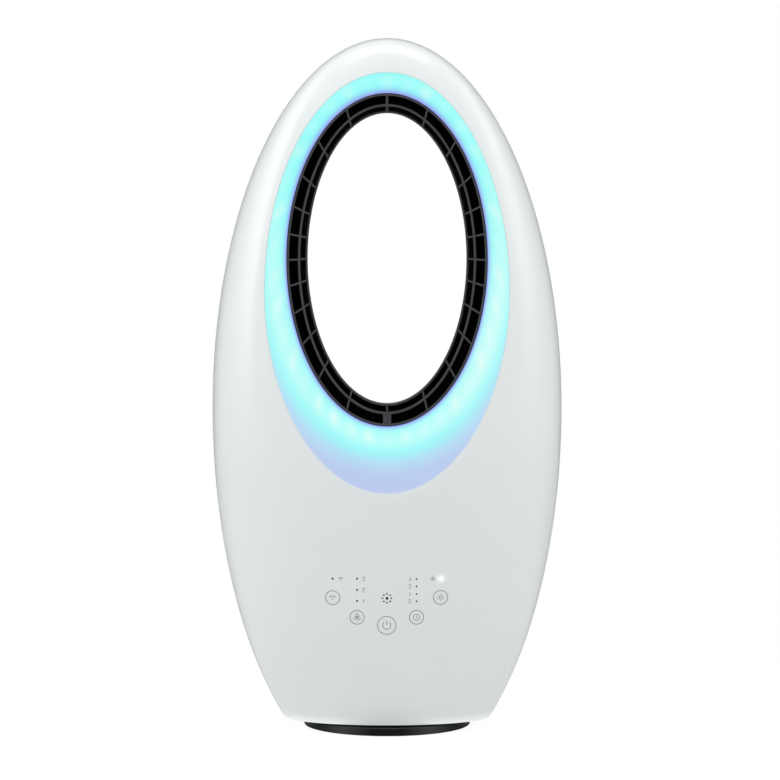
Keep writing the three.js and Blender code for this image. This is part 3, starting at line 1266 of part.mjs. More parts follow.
add("motor_shaft", barZ(MOTOR_SHAFT_RADIUS, IMPELLER_BOTTOM_Z - NUT_HEIGHT - 1, MOTOR_TOP_Z + 1), STEEL);
add("impeller", impeller(), BLACK_SATIN);
const nutTop = IMPELLER_BOTTOM_Z - FIT_GAP;
const nut = cut(barZ(NUT_RADIUS, nutTop - NUT_HEIGHT, nutTop, 0, 0, 6), barZ(shaftHole, 0, nutTop + 1));
add("impeller_nut", nut, STEEL);

add("control_board", controlBoard(), BOARD_GREEN);
TOUCH_KEYS.forEach(([name, x, z, radius]) => add(name, touchPad(x, z, radius), SPRING_STEEL));
add("power_board", powerBoard(), BOARD_GREEN);
add("power_inlet", powerInlet(), BLACK_SATIN);
add("inlet_lead", inletLead(), BLACK_SATIN);

export default fan;
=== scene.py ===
# %% [markdown]
# # A bladeless oval fan
# The fan is an egg-shaped white shell on a round black base. Air leaves through a slotted black ring
# round an oval throat, and a funnel of frosted plastic glows round that ring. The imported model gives
# every piece its place. This notebook gives the pieces that show a finer surface, and all of them a
# finish. Shapes are worked out in millimetres with numpy, and scaled to metres when a mesh is made.

import json

import bpy
import bmesh
import numpy as np
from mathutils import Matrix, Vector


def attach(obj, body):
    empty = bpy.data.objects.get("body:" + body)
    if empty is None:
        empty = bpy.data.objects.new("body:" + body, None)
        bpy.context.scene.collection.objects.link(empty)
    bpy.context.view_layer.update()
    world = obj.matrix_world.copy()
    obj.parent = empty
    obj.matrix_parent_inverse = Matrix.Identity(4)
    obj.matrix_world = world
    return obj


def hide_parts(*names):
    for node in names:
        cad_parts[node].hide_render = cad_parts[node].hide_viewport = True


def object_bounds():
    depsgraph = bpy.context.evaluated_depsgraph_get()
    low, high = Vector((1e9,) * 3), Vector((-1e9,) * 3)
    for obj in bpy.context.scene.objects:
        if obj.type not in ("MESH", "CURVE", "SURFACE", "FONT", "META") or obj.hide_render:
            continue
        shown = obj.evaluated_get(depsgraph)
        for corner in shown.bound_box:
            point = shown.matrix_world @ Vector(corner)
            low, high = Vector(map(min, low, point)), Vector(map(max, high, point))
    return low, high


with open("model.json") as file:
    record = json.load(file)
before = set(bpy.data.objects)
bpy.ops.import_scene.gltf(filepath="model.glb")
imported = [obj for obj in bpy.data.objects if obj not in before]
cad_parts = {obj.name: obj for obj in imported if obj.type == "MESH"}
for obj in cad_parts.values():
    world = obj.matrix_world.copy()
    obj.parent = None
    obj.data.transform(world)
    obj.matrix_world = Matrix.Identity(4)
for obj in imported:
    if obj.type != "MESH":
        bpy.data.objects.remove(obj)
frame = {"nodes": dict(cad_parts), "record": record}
MM = 0.001
cad_box = [np.array(corner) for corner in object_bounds()]
print("the packed model reaches from", cad_box[0], "to", cad_box[1])

# %% [markdown]
# ## The sizes that the shapes share
# A few sizes drive every surface, and they are the real ones of the fan. The egg's half width and its
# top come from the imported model, so that no finer surface can outgrow it.

# %% Driving sizes in millimetres
EGG_HALF_WIDTH = cad_box[1][0] / MM
EGG_HALF_DEPTH = 86.0
EGG_WIDEST = 250.0
EGG_TOP = cad_box[1][2] / MM
EGG_LOWER_REACH = 302.0
EGG_POWER = 2.5
SHELL_BOTTOM = 7.7
WALL = 2.5
SEAM_GAP = 0.3
EDGE_GAP = 0.4

THROAT_Z, THROAT_WIDTH, THROAT_HEIGHT = 369.45, 61.8, 113.55
LIP_Y, THROAT_WALL, THROAT_FLARE = -18.5, 2.0, 15.0
GRILLE_WIDTH, GRILLE_FRONT_Y = 16.0, -34.0

# An opening: the height of its widest level, its half width, and its reach above and below that level.
LIGHT_OPENING = (347.3, 94.7, 168.4, 154.6)
REAR_OPENING = (THROAT_Z, THROAT_WIDTH + THROAT_FLARE, *[THROAT_HEIGHT + THROAT_FLARE] * 2)


def egg_level(x, z, inset=0.0):
    """One in the middle of the front view, nought on the egg's outline: 1 - (x/a)^2 - (z/c)^2."""
    reach = np.where(z > EGG_WIDEST, EGG_TOP - EGG_WIDEST, EGG_LOWER_REACH) - inset
    return 1 - (x / (EGG_HALF_WIDTH - inset)) ** 2 - ((z - EGG_WIDEST) / reach) ** 2


def egg_depth(x, z, inset=0.0):
    """Half the egg's depth at a place of the front view: its half depth times level^(1/2.5)."""
    return (EGG_HALF_DEPTH - inset) * np.maximum(egg_level(x, z, inset), 0) ** (1 / EGG_POWER)


print("half depth at the widest level:", float(egg_depth(0.0, EGG_WIDEST)), "mm")

# %% [markdown]
# ## From grids of points to a mesh
# Every surface here is a grid of points: rows along one parameter, columns along the other. One small
# class collects such grids, joins neighbours into four-sided faces with index arithmetic, and hands
# the arrays to Blender in one go, which is far quicker than adding faces one at a time.


# %% A collector for grids
SAME_PLACE = 1e-7  # metres within which two points of a mesh are one
CREASE = 35  # degrees above which an edge stays sharp


class Surface:
    """Grids, rings and caps that become one mesh. Each point can carry named marks for a material."""

    def __init__(self):
        self.points, self.faces, self.marks, self.count = [], [], {}, 0

    def place(self, points, marks):
        """Stores points of shape (n, 3), and one value a point for each mark."""
        first = self.count
        self.points.append(points)
        for name, values in marks.items():
            self.marks.setdefault(name, []).append(np.broadcast_to(values, len(points)))
        self.count += len(points)
        return first

    def grid(self, points, wrap_rows=False, wrap_columns=False, **marks):
        """A face for each cell between rows i, i + 1 and columns j, j + 1; a wrap joins last to first."""
        rows, columns = points.shape[:2]
        first = self.place(points.reshape(-1, 3), {k: np.ravel(v) for k, v in marks.items()})
        i = np.arange(rows if wrap_rows else rows - 1)[:, None]
        j = np.arange(columns if wrap_columns else columns - 1)[None, :]
        below, beside = (i + 1) % rows, (j + 1) % columns
        cell = [i * columns + j, below * columns + j, below * columns + beside, i * columns + beside]
        self.faces.append(first + np.stack(cell, axis=-1).reshape(-1, 4))

    def cap(self, centre, ring, **marks):
        """Closes a ring of points with triangles that meet in its centre."""
        first = self.place(np.vstack([centre, ring]), marks)
        j = np.arange(len(ring))
        self.faces.append(first + np.stack([0 * j, 1 + j, 1 + (j + 1) % len(ring)], axis=-1))

    def bar(self, rows):
        """Rows of points round a bar, joined along it, with a cap at both ends."""
        self.grid(rows, wrap_columns=True)
        for end in (rows[0], rows[-1]):
            self.cap(end.mean(axis=0), end)

    def mesh(self, name):
        """The collected arrays as a Blender mesh in metres, with doubles merged and faces turned out."""
        corners = np.concatenate([face.ravel() for face in self.faces])
        sizes = np.concatenate([np.full(len(face), face.shape[1]) for face in self.faces])
        mesh = bpy.data.meshes.new(name)
        mesh.vertices.add(self.count)
        mesh.vertices.foreach_set("co", (np.vstack(self.points) * MM).ravel())
        mesh.loops.add(len(corners))
        mesh.loops.foreach_set("vertex_index", corners.astype(np.int32))
        mesh.polygons.add(len(sizes))
        mesh.polygons.foreach_set("loop_start", (np.cumsum(sizes) - sizes).astype(np.int32))
        mesh.update(calc_edges=True)
        for mark, values in self.marks.items():
            layer = mesh.attributes.new(mark, "FLOAT", "POINT")
            layer.data.foreach_set("value", np.concatenate(values).astype(np.float32))
        shape = bmesh.new()
        shape.from_mesh(mesh)
        bmesh.ops.remove_doubles(shape, verts=shape.verts, dist=SAME_PLACE)
        bmesh.ops.recalc_face_normals(shape, faces=shape.faces)
        shape.to_mesh(mesh)
        shape.free()
        return mesh


def piece(mesh, body, material, replaces=()):
    """Makes an object of a mesh, smooth but for its sharp edges, and lets it ride on a body."""
    obj = bpy.data.objects.new(mesh.name, mesh)
    bpy.context.scene.collection.objects.link(obj)
    mesh.polygons.foreach_set("use_smooth", np.ones(len(mesh.polygons), dtype=bool))
    mesh.set_sharp_from_angle(angle=np.radians(CREASE))
    mesh.materials.append(material)
    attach(obj, body)
    if replaces:
        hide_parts(*replaces)
    print(f"{mesh.name}: {len(mesh.polygons)} faces")


# %% [markdown]
# ## Shader maths as expressions
# A material here is written as arithmetic. A small class wraps a socket, and each operator adds the
# Math node that it stands for, so `0.2 + 0.05 * noise` builds two nodes. Everything else comes from one
# method that takes a node's type, its settings and its inputs.


# %% Sockets that can be added and multiplied
class Wire:
    """A socket of a node tree with arithmetic. Each operator adds one Math node."""

    def __init__(self, desk, socket):
        self.desk, self.socket = desk, socket

    def math(self, operation, *values):
        """One Math node on the given values or wires."""
        return self.desk.node("ShaderNodeMath", {"operation": operation}, *values)

    def __add__(self, other):
        return self.math("ADD", self, other)

    def __sub__(self, other):
        return self.math("SUBTRACT", self, other)

    def __rsub__(self, other):
        return self.math("SUBTRACT", other, self)

    def __mul__(self, other):
        return self.math("MULTIPLY", self, other)

    def __gt__(self, other):
        return self.math("GREATER_THAN", self, other)

    def __abs__(self):
        return self.math("ABSOLUTE", self)

    __radd__, __rmul__ = __add__, __mul__


class Desk:
    """Adds nodes to one tree. Inputs are given in order or by name, as numbers, colours or wires."""

    def __init__(self, tree):
        self.tree = tree
        tree.nodes.clear()

    def node(self, kind, settings=None, *values, output=0, **named):
        """Any other node: its type, its settings, then its inputs; an underscore in a name is a space."""
        made = self.tree.nodes.new(kind)
        for name, value in (settings or {}).items():
            setattr(made, name, value)
        inputs = dict(enumerate(values)) | {k.replace("_", " "): v for k, v in named.items()}
        for key, value in inputs.items():
            if isinstance(value, Wire):
                self.tree.links.new(value.socket, made.inputs[key])
            else:
                made.inputs[key].default_value = value
        return Wire(self, made.outputs[output]) if made.outputs else made

    def ramp(self, factor, *stops):
        """A colour ramp with stops of (position, colour)."""
        wire = self.node("ShaderNodeValToRGB", None, factor)
        elements = wire.socket.node.color_ramp.elements
        for position, colour in stops[2:]:
            elements.new(0.5)
        for element, (position, colour) in zip(elements, stops):
            element.position = position
        for element, (position, colour) in zip(elements, stops):
            element.color = (*colour, 1)
        return wire

    def mix(self, factor, first, second):
        """Between two colours, by a factor from nought to one."""
        wire = self.node("ShaderNodeMix", {"data_type": "RGBA"}, output=2)
        for number, value in ((0, factor), (6, first), (7, second)):
            socket = wire.socket.node.inputs[number]
            if isinstance(value, Wire):
                self.tree.links.new(value.socket, socket)
            else:
                socket.default_value = value if socket.type == "VALUE" else (*value, 1)
        return wire

    def place(self):
        """The position on the piece, in metres."""
        return self.node("ShaderNodeTexCoord", output=3)

    def axis(self, number):
        """One number of that position: 0, 1 or 2 for x, y or z."""
        return self.node("ShaderNodeSeparateXYZ", None, self.place(), output=number)

    def between(self, value, start, end):
        """Nought up to `start`, one from `end` on, and even in between; `start` may be the larger one."""
        return self.node("ShaderNodeMapRange", None, value, From_Min=start, From_Max=end)

    def noise(self, scale, detail=3.0, vector=None):
        """Smooth noise between nought and one; scale is in waves a metre."""
        vector = vector or self.place()
        return self.node("ShaderNodeTexNoise", None, Vector=vector, Scale=scale, Detail=detail)

    def bump(self, height, distance):
        """A surface relief, whose depth is `distance` metres where the height is one."""
        return self.node("ShaderNodeBump", None, Height=height, Distance=distance, Strength=1.0)

    def mark(self, name):
        """A value that the mesh carries at its points."""
        return self.node("ShaderNodeAttribute", {"attribute_name": name}, output=2)


def finish(name, base, roughness, relief, **others):
    """A Principled material. Each input is a plain value, or a function that builds it on the desk."""
    material = bpy.data.materials.new(name)
    material.use_nodes = True
    desk = Desk(material.node_tree)
    inputs = {"Base Color": base, "Roughness": roughness, "Normal": relief, **others}
    shader = desk.tree.nodes.new("ShaderNodeBsdfPrincipled")
    for key, value in inputs.items():
        value = value(desk) if callable(value) else value
        if isinstance(value, Wire):
            desk.tree.links.new(value.socket, shader.inputs[key])
        else:
            shader.inputs[key].default_value = value
    output = desk.tree.nodes.new("ShaderNodeOutputMaterial")
    desk.tree.links.new(shader.outputs[0], output.inputs[0])
    return material


# %% [markdown]
# ## Finishes
# Moulded plastic is never one flat colour: the resin clouds a little, the gloss is broken by a faint
# ripple of the mould, and matt parts have the fine pits of an eroded tool. Each finish mixes two close
# colours by noise, lets the roughness wander, and adds relief at its real depth.


# %% Plastics
def plastic(name, light, dark, roughness, cloud, pits, depth, **others):
    """Two close colours mixed by cloudy noise, and relief from noise of `pits` waves a metre."""
    return finish(
        name,
        lambda d: d.mix(d.noise(cloud), dark, light),
        lambda d: roughness + 0.06 * (d.noise(cloud * 3) - 0.5),
        lambda d: d.bump(d.noise(pits, 2.0), depth),
        **others,
    )


INNER_WHITE = plastic("white_inner", (0.72, 0.73, 0.73), (0.66, 0.67, 0.67), 0.5, 20, 2500, 2e-5)
LESS_SHINE = {"Specular IOR Level": 0.3}
GRILLE_BLACK = plastic(
    "grille_black", (0.066, 0.065, 0.07), (0.048, 0.047, 0.052), 0.62, 60, 5000, 3e-5, **LESS_SHINE
)
DUCT_BLACK = plastic("duct_black", (0.004, 0.004, 0.005), (0.002, 0.002, 0.003), 0.7, 40, 3000, 3e-5)
MATT_BLACK = plastic("matt_black", (0.05, 0.05, 0.052), (0.035, 0.035, 0.037), 0.55, 40, 4000, 4e-5)
RUBBER = plastic("rubber", (0.05, 0.049, 0.048), (0.03, 0.03, 0.03), 0.82, 90, 6000, 6e-5)
LEAD_RUBBER = plastic("lead_rubber", (0.045, 0.045, 0.047), (0.03, 0.03, 0.032), 0.6, 60, 3000, 3e-5)
WAXY = {"Subsurface Weight": 0.05}
NYLON = plastic("nylon", (0.84, 0.81, 0.71), (0.77, 0.73, 0.62), 0.42, 50, 3500, 2e-5, **WAXY)
PRINT_GREY = plastic("print_grey", (0.2, 0.215, 0.22), (0.16, 0.175, 0.18), 0.5, 300, 9000, 1e-5)
DOT_BLACK = plastic("dot_black", (0.012, 0.013, 0.016), (0.006, 0.007, 0.009), 0.25, 200, 4000, 1e-5)
print("plastics mixed:", INNER_WHITE.name, "to", DOT_BLACK.name)

# %% [markdown]
# The shell's gloss is a smooth white with a thin clear coat, which gives the narrow bright bands along
# its sides. The faces that look into the loop are painted black as shade, so that the hollow behind the
# slots looks as dark as the duct. Two materials could do that, but then each piece would need two
# slots, so one material reads a mark from the mesh instead. The light that the sheet below would throw
# on the shell's lowest edge is painted on as a faint glow. The light key's indicator is the same white,
# lit from behind.


# %% The shell's white
BLACK = (0.0, 0.0, 0.0)


def gloss_white(d):
    """Cloudy white outside. The mark `inside` paints the faces within the loop black, as shade."""
    outside = d.mix(d.noise(9), (0.8, 0.838, 0.842), (0.828, 0.865, 0.868))
    return d.mix(d.mark("inside"), outside, (0.012, 0.012, 0.014))


def shell_white(name, coat, emission):
    """The shell's gloss under a thin coat, matt within the loop, with emission: painted light on the
    shell's lowest edge, the lamp's own glow on the indicator.
    """
    return finish(
        name,
        gloss_white,
        lambda d: 0.2 + 0.06 * (d.noise(27) - 0.5) + 0.6 * d.mark("inside"),
        lambda d: d.bump(d.noise(700, 2.0), 3e-6),
        **{
            "Coat Weight": coat,
            "Coat Roughness": 0.05,
            "Emission Color": emission,
            "Emission Strength": 1.0,
        },
    )


# Painted light on the shell's lowest edge: the heights between which it grows to its full.
GLOW_PAINT_TOP, GLOW_PAINT_FULL = 0.017, 0.0085  # metres above the floor between which the shine grows to its full


def painted_low_edge_glow(d):
    """Painted light in place of the sheet's, on the lowest 9 mm of the shell, most at the very edge."""
    near = d.between(d.axis(2), GLOW_PAINT_TOP, GLOW_PAINT_FULL)
    return d.mix(near * near * (1 - d.mark("inside")), BLACK, (0.21, 0.22, 0.22))


# The shell's emission is painted light: a faint glow on its lowest edge.
WHITE = shell_white("white_gloss", lambda d: 0.2 * (1 - d.mark("inside")), painted_low_edge_glow)
LIT_DOT = shell_white("lit_dot", 0.2, lambda d: d.mix(d.mark("glow"), BLACK, (0.36, 0.37, 0.37)))
print("shell finishes:", WHITE.name, "and", LIT_DOT.name)

# %% [markdown]
# The base is a glossy black wall only six millimetres high. What it mirrors of the room are two soft
# pale bands. A sharper gloss would mirror all of the room and turn grey, so the bands are painted.


# %% The base's black
def painted_base_reflection(d):
    """Painted reflection: two soft pale bands on the glossy wall, 12 to 54 mm left and right of the middle.
    """
    aside = abs(d.axis(0))
    return d.between(aside, 0.012, 0.033) * d.between(aside, 0.054, 0.036)


BASE_BLACK = finish(
    "base_black",
    # The pale colour where the mask is high is painted reflection.
    lambda d: d.mix(painted_base_reflection(d), (0.005, 0.005, 0.006), (0.046, 0.046, 0.046)),
    lambda d: 0.36 + 0.06 * d.noise(90),
    lambda d: d.bump(d.noise(1800, 2.0), 6e-6),
    **{"Specular IOR Level": 0.1},
)
print("base finish:", BASE_BLACK.name)

# %% [markdown]
# Metal parts inside the fan are turned, rolled or zinc coated. Fine streaks along one direction tell
# them apart from plastic: the noise is stretched by scaling the position before it is read.


# %% Metals and boards
def metal(name, light, dark, roughness, stretch):
    """Streaked noise: the position is scaled by `stretch`, which draws the pattern out along one axis."""

    def streaks(d):
        drawn = d.node("ShaderNodeVectorMath", {"operation": "MULTIPLY"}, d.place(), stretch)
        return d.noise(1.0, 4.0, drawn)

    return finish(
        name,
        lambda d: d.mix(streaks(d), dark, light),
        lambda d: roughness + 0.16 * (streaks(d) - 0.5),
        lambda d: d.bump(streaks(d), 1e-5),
        Metallic=1.0,
    )


BRIGHT_STEEL = metal("bright_steel", (0.68, 0.69, 0.7), (0.52, 0.53, 0.55), 0.28, (900, 900, 90))
ZINC_STEEL = metal("zinc_steel", (0.6, 0.61, 0.63), (0.45, 0.46, 0.49), 0.38, (300, 300, 300))
CORE_STEEL = metal("core_steel", (0.36, 0.37, 0.39), (0.2, 0.21, 0.22), 0.5, (40, 40, 2500))


def board(name, light, dark, pad, roughness):
    """Copper tracks under lacquer: bands of a brick pattern, and round pads where noise is high."""

    def colour(d):
        tracks = d.node("ShaderNodeTexBrick", None, d.place(), Scale=260.0, Mortar_Size=0.08, output=1)
        return d.mix(d.noise(420) > 0.66, d.mix(tracks, light, dark), pad)

    return finish(
        name,
        colour,
        lambda d: roughness + 0.2 * d.noise(150),
        lambda d: d.bump(d.noise(420), 5e-5),
    )


GREEN_BOARD = board("green_board", (0.02, 0.17, 0.075), (0.012, 0.1, 0.045), (0.6, 0.58, 0.45), 0.32)
WHITE_BOARD = board("white_board", (0.84, 0.84, 0.8), (0.74, 0.74, 0.71), (0.9, 0.85, 0.45), 0.4)
print("metals and boards mixed:", BRIGHT_STEEL.name, "to", WHITE_BOARD.name)

# %% [markdown]
# ## The glowing cover
# A strip of small lamps shines through frosted plastic from behind, close to the black ring. Next to
# the ring the plastic stays blue-violet, over the lamps it is a pale cyan with soft bright spots, and
# further out the glow dies away into lavender. Real lamps behind real frosted plastic would take very
# long to render without grain, so the cover gives the light itself. Its colour depends mostly on the
# distance from the ring: the mesh carries that distance, and a ramp turns it into light. More marks add
# the lamps' spots, the violet rim and a painted highlight along the lower outer edge.


# %% The cover's material
GLOW_REACH = 50.0  # millimetres from the ring at which the ramp ends


def linear(red, green, blue):
    """A colour given in display numbers up to 255, as the linear light that a shader takes."""
    return tuple(((np.array([red, green, blue]) / 255 + 0.055) / 1.055) ** 2.4)


GLOW_STOPS = {  # millimetres from the ring: the colour seen there
    0.0: (146, 240, 248),
    3.5: (145, 249, 246),
    5.5: (148, 253, 246),
    7.0: (151, 254, 246),
    9.0: (155, 254, 247),
    12.5: (159, 253, 247),
    16.0: (153, 250, 246),
    18.5: (151, 247, 245),
    26.5: (184, 220, 242),
    34.0: (188, 205, 236),
    50.0: (189, 198, 234),
}
VIOLET = (154, 150, 236)
# The colour of the painted highlight along the cover's lower outer edge.
LIP_HIGHLIGHT = (226, 231, 235)
OVER_A_LAMP = (226, 253, 247)
REFLECTED = 0.195  # what the cover reflects of the room anyway, so it is taken off the light it gives


def light_given(*display):
    """The light that the cover has to give for a colour to be seen on it."""
    return tuple(max(value - REFLECTED, 0) for value in linear(*display))


def glow_colour(d):
    """The ramp over the distance from the ring, whitened over the lamps and violet along the ring,
    with a painted highlight along the lower outer edge.
    """
    stops = [(away / GLOW_REACH, light_given(*display)) for away, display in GLOW_STOPS.items()]
    lit = d.mix(d.mark("lamp"), d.ramp(d.mark("away"), *stops), light_given(*OVER_A_LAMP))
    lit = d.mix(d.mark("rim"), lit, light_given(*VIOLET))
    # The mark `lip` adds a painted highlight along the lower outer edge.
    lit = d.mix(d.mark("lip"), lit, light_given(*LIP_HIGHLIGHT))
    return d.mix(d.mark("front"), BLACK, lit)


GLOW = finish(
    "glow_cover",
    lambda d: d.mix(d.noise(40), (0.2, 0.21, 0.23), (0.23, 0.24, 0.26)),
    lambda d: 0.3 + 0.05 * d.noise(60),
    lambda d: d.bump(d.noise(2600, 2.0), 6e-6),
    **{"Emission Color": glow_colour, "Emission Strength": 1.0, "Coat Weight": 0.15},
)
print("the glow's ramp has", len(GLOW_STOPS), "stops over", GLOW_REACH, "mm")

# %% [markdown]
# ## The two halves of the shell
# Each half is a closed wall between an oval opening and the seam. In the front view every column of
# the grid runs straight from the opening's edge to the egg's outline, and the egg's formula gives the
# depth. Rows lie close together at the opening, where the edge is rolled over a small radius, and at
# the seam, where the surface turns through a right angle.

# %% The outline of the egg and rolled edges
SEAM_STEPS, UNDERSIDE_STEPS = 300, 90
OUTER_ROWS, INNER_ROWS = 56, 14
EDGE_ROLL = 1.1
CORNER = 0.3  # the small flat that breaks the seam's and the underside's edges


def egg_outline(inset=0.0, lift=0.0):
    """Points (x, z) of the outline: an ellipse's arc over the top, and the flat underside back."""
    bottom = SHELL_BOTTOM + lift
    width, lower = EGG_HALF_WIDTH - inset, EGG_LOWER_REACH - inset
    corner = np.pi - np.arccos((EGG_WIDEST - bottom) / lower)
    turn = corner * (2 * np.arange(SEAM_STEPS) / SEAM_STEPS - 1)
    reach = np.where(np.cos(turn) > 0, EGG_TOP - EGG_WIDEST - inset, lower)
    seam = np.stack([width * np.sin(turn), EGG_WIDEST + reach * np.cos(turn)], axis=-1)
    across = np.cos(np.arange(UNDERSIDE_STEPS) / UNDERSIDE_STEPS * np.pi)
    underside = np.stack([width * np.sin(corner) * across, np.full(UNDERSIDE_STEPS, bottom)], axis=-1)
    return np.vstack([seam, underside])


def opening_oval(opening, angle, inset=0.0):
    """Half an ellipse above the widest level and half another below it, or `inset` inside them."""
    widest, width, above, below = opening
    reach = np.where(np.cos(angle) > 0, above, below) - inset
    return np.stack([(width - inset) * np.sin(angle), widest + reach * np.cos(angle)], axis=-1)


def opening_edge(opening):
    """Points (x, z) of an opening, one for each column of the skin, on the ray to the outline's point."""
    widest, width, above, below = opening
    x, up = egg_outline().T - np.array([[0], [widest]])
    return opening_oval(opening, np.arctan2(x / width, up / np.where(up > 0, above, below)))


def rolled(distance, radius=EDGE_ROLL):
    """How far a rolled edge falls back: a quarter circle over `radius` millimetres from the edge."""
    short = np.clip(radius - distance, 0, radius)
    return radius - np.sqrt(radius**2 - short**2)


def skin(side, opening, inset, rows, roll, lift=0.0):
    """Rows of the skin from the opening to the outline, spaced by a sine so that they crowd at the seam."""
    edge, rim = opening_edge(opening), egg_outline(inset, lift)
    middle = np.array([0, opening[0]])
    nearest = np.linalg.norm(edge - middle, axis=1) / np.linalg.norm(rim - middle, axis=1)
    first = np.arcsin(nearest)
    step = np.linspace(0, 1, rows)[:, None]
    share = (np.sin(first + (np.pi / 2 - first) * step) - nearest) / (1 - nearest)
    if roll:
        length = np.linalg.norm(rim - edge, axis=1)
        close = np.array([0, 0.06, 0.15, 0.3, 0.5, 0.75])[:, None] * EDGE_ROLL / length
        start = EDGE_ROLL / length
        share = np.vstack([close, start + (1 - start) * share])
    flat = edge + (rim - edge) * share[..., None]
    depth = egg_depth(flat[..., 0], flat[..., 1], inset)
    if roll:
        depth = np.maximum(depth - rolled(share * length), CORNER)
    return np.stack([flat[..., 0], side * (depth + SEAM_GAP / 2), flat[..., 1]], axis=-1)


def shell_half(name, side, opening):
    """Outer skin, a small flat at seam and underside, and inner skin, closed into one wall."""
    outer = skin(side, opening, 0.0, OUTER_ROWS, True, lift=CORNER)
    rim = egg_outline(CORNER)
    flat_depth = side * (egg_depth(rim[:, 0], rim[:, 1], CORNER) + SEAM_GAP / 2)
    corner = np.stack([rim[:, 0], flat_depth, rim[:, 1]], axis=-1)[None]
    inner = skin(side, opening, WALL, INNER_ROWS, False)[::-1]
    wall = np.vstack([outer, corner, inner])
    # The inner skin's faces are marked, and painted black as shade.
    inside = np.zeros(wall.shape[:2])
    inside[-len(inner) :] = 1
    surface = Surface()
    surface.grid(wall, wrap_rows=True, wrap_columns=True, inside=inside)
    return surface.mesh(name)


front_mesh = shell_half("front_shell_fine", -1, LIGHT_OPENING)
rear_mesh = shell_half("rear_shell_fine", 1, REAR_OPENING)
print("front half:", len(front_mesh.vertices), "points, rear half:", len(rear_mesh.vertices), "points")

# %% [markdown]
# The front half needs no holes. The rear half has six screw wells, a window for the intake panel and
# an opening for the mains inlet. They are cut with a Boolean: solid posts are joined to the wall first,
# each ending inside it on the egg's own curve, and then bores, window and hole are taken away.

# %% Posts, bores and the rear half's cuts
SCREWS = [(side * x, z) for x, z in ((117, 300), (66, 488), (92, 70)) for side in (1, -1)]
WELL_RADIUS, WELL_WALL, WELL_SEAT = 3.6, 1.6, 5.0
SCREW_BORE = 1.8
INTAKE_Z, INTAKE_WIDTH, INTAKE_HEIGHT, INTAKE_POWER = 118.0, 60.0, 52.0, 2.6
SOCKET_Z, SOCKET_WIDTH, SOCKET_HEIGHT, SOCKET_CORNER, SOCKET_GAP = 35.0, 27.0, 18.0, 2.0, 0.4
CUT_FROM, CUT_TO = 45.0, EGG_HALF_DEPTH + 5  # depths between which window and hole are cut
ROUND = 32
round_turn = np.linspace(0, 2 * np.pi, ROUND, endpoint=False)


def post(surface, x, z, radius, near, far_inset=None, far=None):
    """A closed round post along Y, whose far end is flat, or lies on the egg at an inset."""
    share = np.array([1.0, 0.66, 0.33])[:, None]
    px, pz = x + radius * share * np.cos(round_turn), z + radius * share * np.sin(round_turn)
    end = np.full(px.shape, far) if far_inset is None else egg_depth(px, pz, far_inset)
    start = np.stack([px[0], np.full(ROUND, near), pz[0]], axis=-1)[None]
    rows = np.vstack([start, np.stack([px, end, pz], axis=-1)])
    surface.grid(rows, wrap_columns=True)
    surface.cap(np.array([x, near, z]), start[0])
    tip = far if far_inset is None else float(egg_depth(x, z, far_inset))
    surface.cap(np.array([x, tip, z]), rows[-1])


def prism(surface, outline, near, far):
    """An outline of points (x, z) carried along Y, closed at both ends."""
    x, z = outline.T
    surface.bar(np.array([np.column_stack([x, np.full(len(x), y), z]) for y in (near, far)]))


def intake_oval(inset, steps):
    """The intake panel's outline, or one `inset` inside it: |x/w|^n + |z/h|^n = 1 round its middle."""
    angle = np.linspace(0, 2 * np.pi, steps, endpoint=False)
    across, up = (np.sign(v) * np.abs(v) ** (2 / INTAKE_POWER) for v in (np.cos(angle), np.sin(angle)))
    return np.stack([(INTAKE_WIDTH - inset) * across, INTAKE_Z + (INTAKE_HEIGHT - inset) * up], axis=-1)


def rounded_box(width, height, radius, middle):
    """A rectangle with round corners, as four quarter circles."""
    quarter = np.linspace(0, np.pi / 2, 7)
    parts = []
    for i, (sx, sz) in enumerate(((1, 1), (-1, 1), (-1, -1), (1, -1))):
        angle = quarter + i * np.pi / 2
        centre = np.array([sx * (width / 2 - radius), middle + sz * (height / 2 - radius)])
        parts.append(centre + radius * np.stack([np.cos(angle), np.sin(angle)], axis=-1))
    return np.vstack(parts)


def boolean(mesh, tool, operation):
    """Joins or cuts a mesh with another one. The result takes the first mesh's name and place."""
    target = bpy.data.objects.new("target", mesh)
    cutter = bpy.data.objects.new("cutter", tool)
    for obj in (target, cutter):
        bpy.context.scene.collection.objects.link(obj)
    modifier = target.modifiers.new("cut", "BOOLEAN")
    modifier.operation, modifier.object, modifier.solver = operation, cutter, "EXACT"
    graph = bpy.context.evaluated_depsgraph_get()
    result = bpy.data.meshes.new_from_object(target.evaluated_get(graph))
    name = mesh.name
    for obj, used in ((target, mesh), (cutter, tool)):
        bpy.data.objects.remove(obj)
        bpy.data.meshes.remove(used)
    result.name = name
    return result


posts, cuts = Surface(), Surface()
for x, z in SCREWS:
    post(posts, x, z, WELL_RADIUS + WELL_WALL, SEAM_GAP / 2, far_inset=WALL / 2)
    post(cuts, x, z, WELL_RADIUS, WELL_SEAT, far=CUT_TO)
    post(cuts, x, z, SCREW_BORE, SEAM_GAP / 2 - 1, far=WELL_SEAT + 1)
prism(cuts, intake_oval(0.0, 200), CUT_FROM, CUT_TO)
socket_size = SOCKET_WIDTH + 2 * SOCKET_GAP, SOCKET_HEIGHT + 2 * SOCKET_GAP
prism(cuts, rounded_box(*socket_size, SOCKET_CORNER, SOCKET_Z), CUT_FROM, CUT_TO)
solid_rear = boolean(rear_mesh, posts.mesh("posts"), "UNION")
cut_rear = boolean(solid_rear, cuts.mesh("cuts"), "DIFFERENCE")
print("rear half after the cuts:", len(cut_rear.polygons), "faces")

piece(front_mesh, "fan_body", WHITE, ["front_shell"])
piece(cut_rear, "fan_body", WHITE, ["rear_shell"])

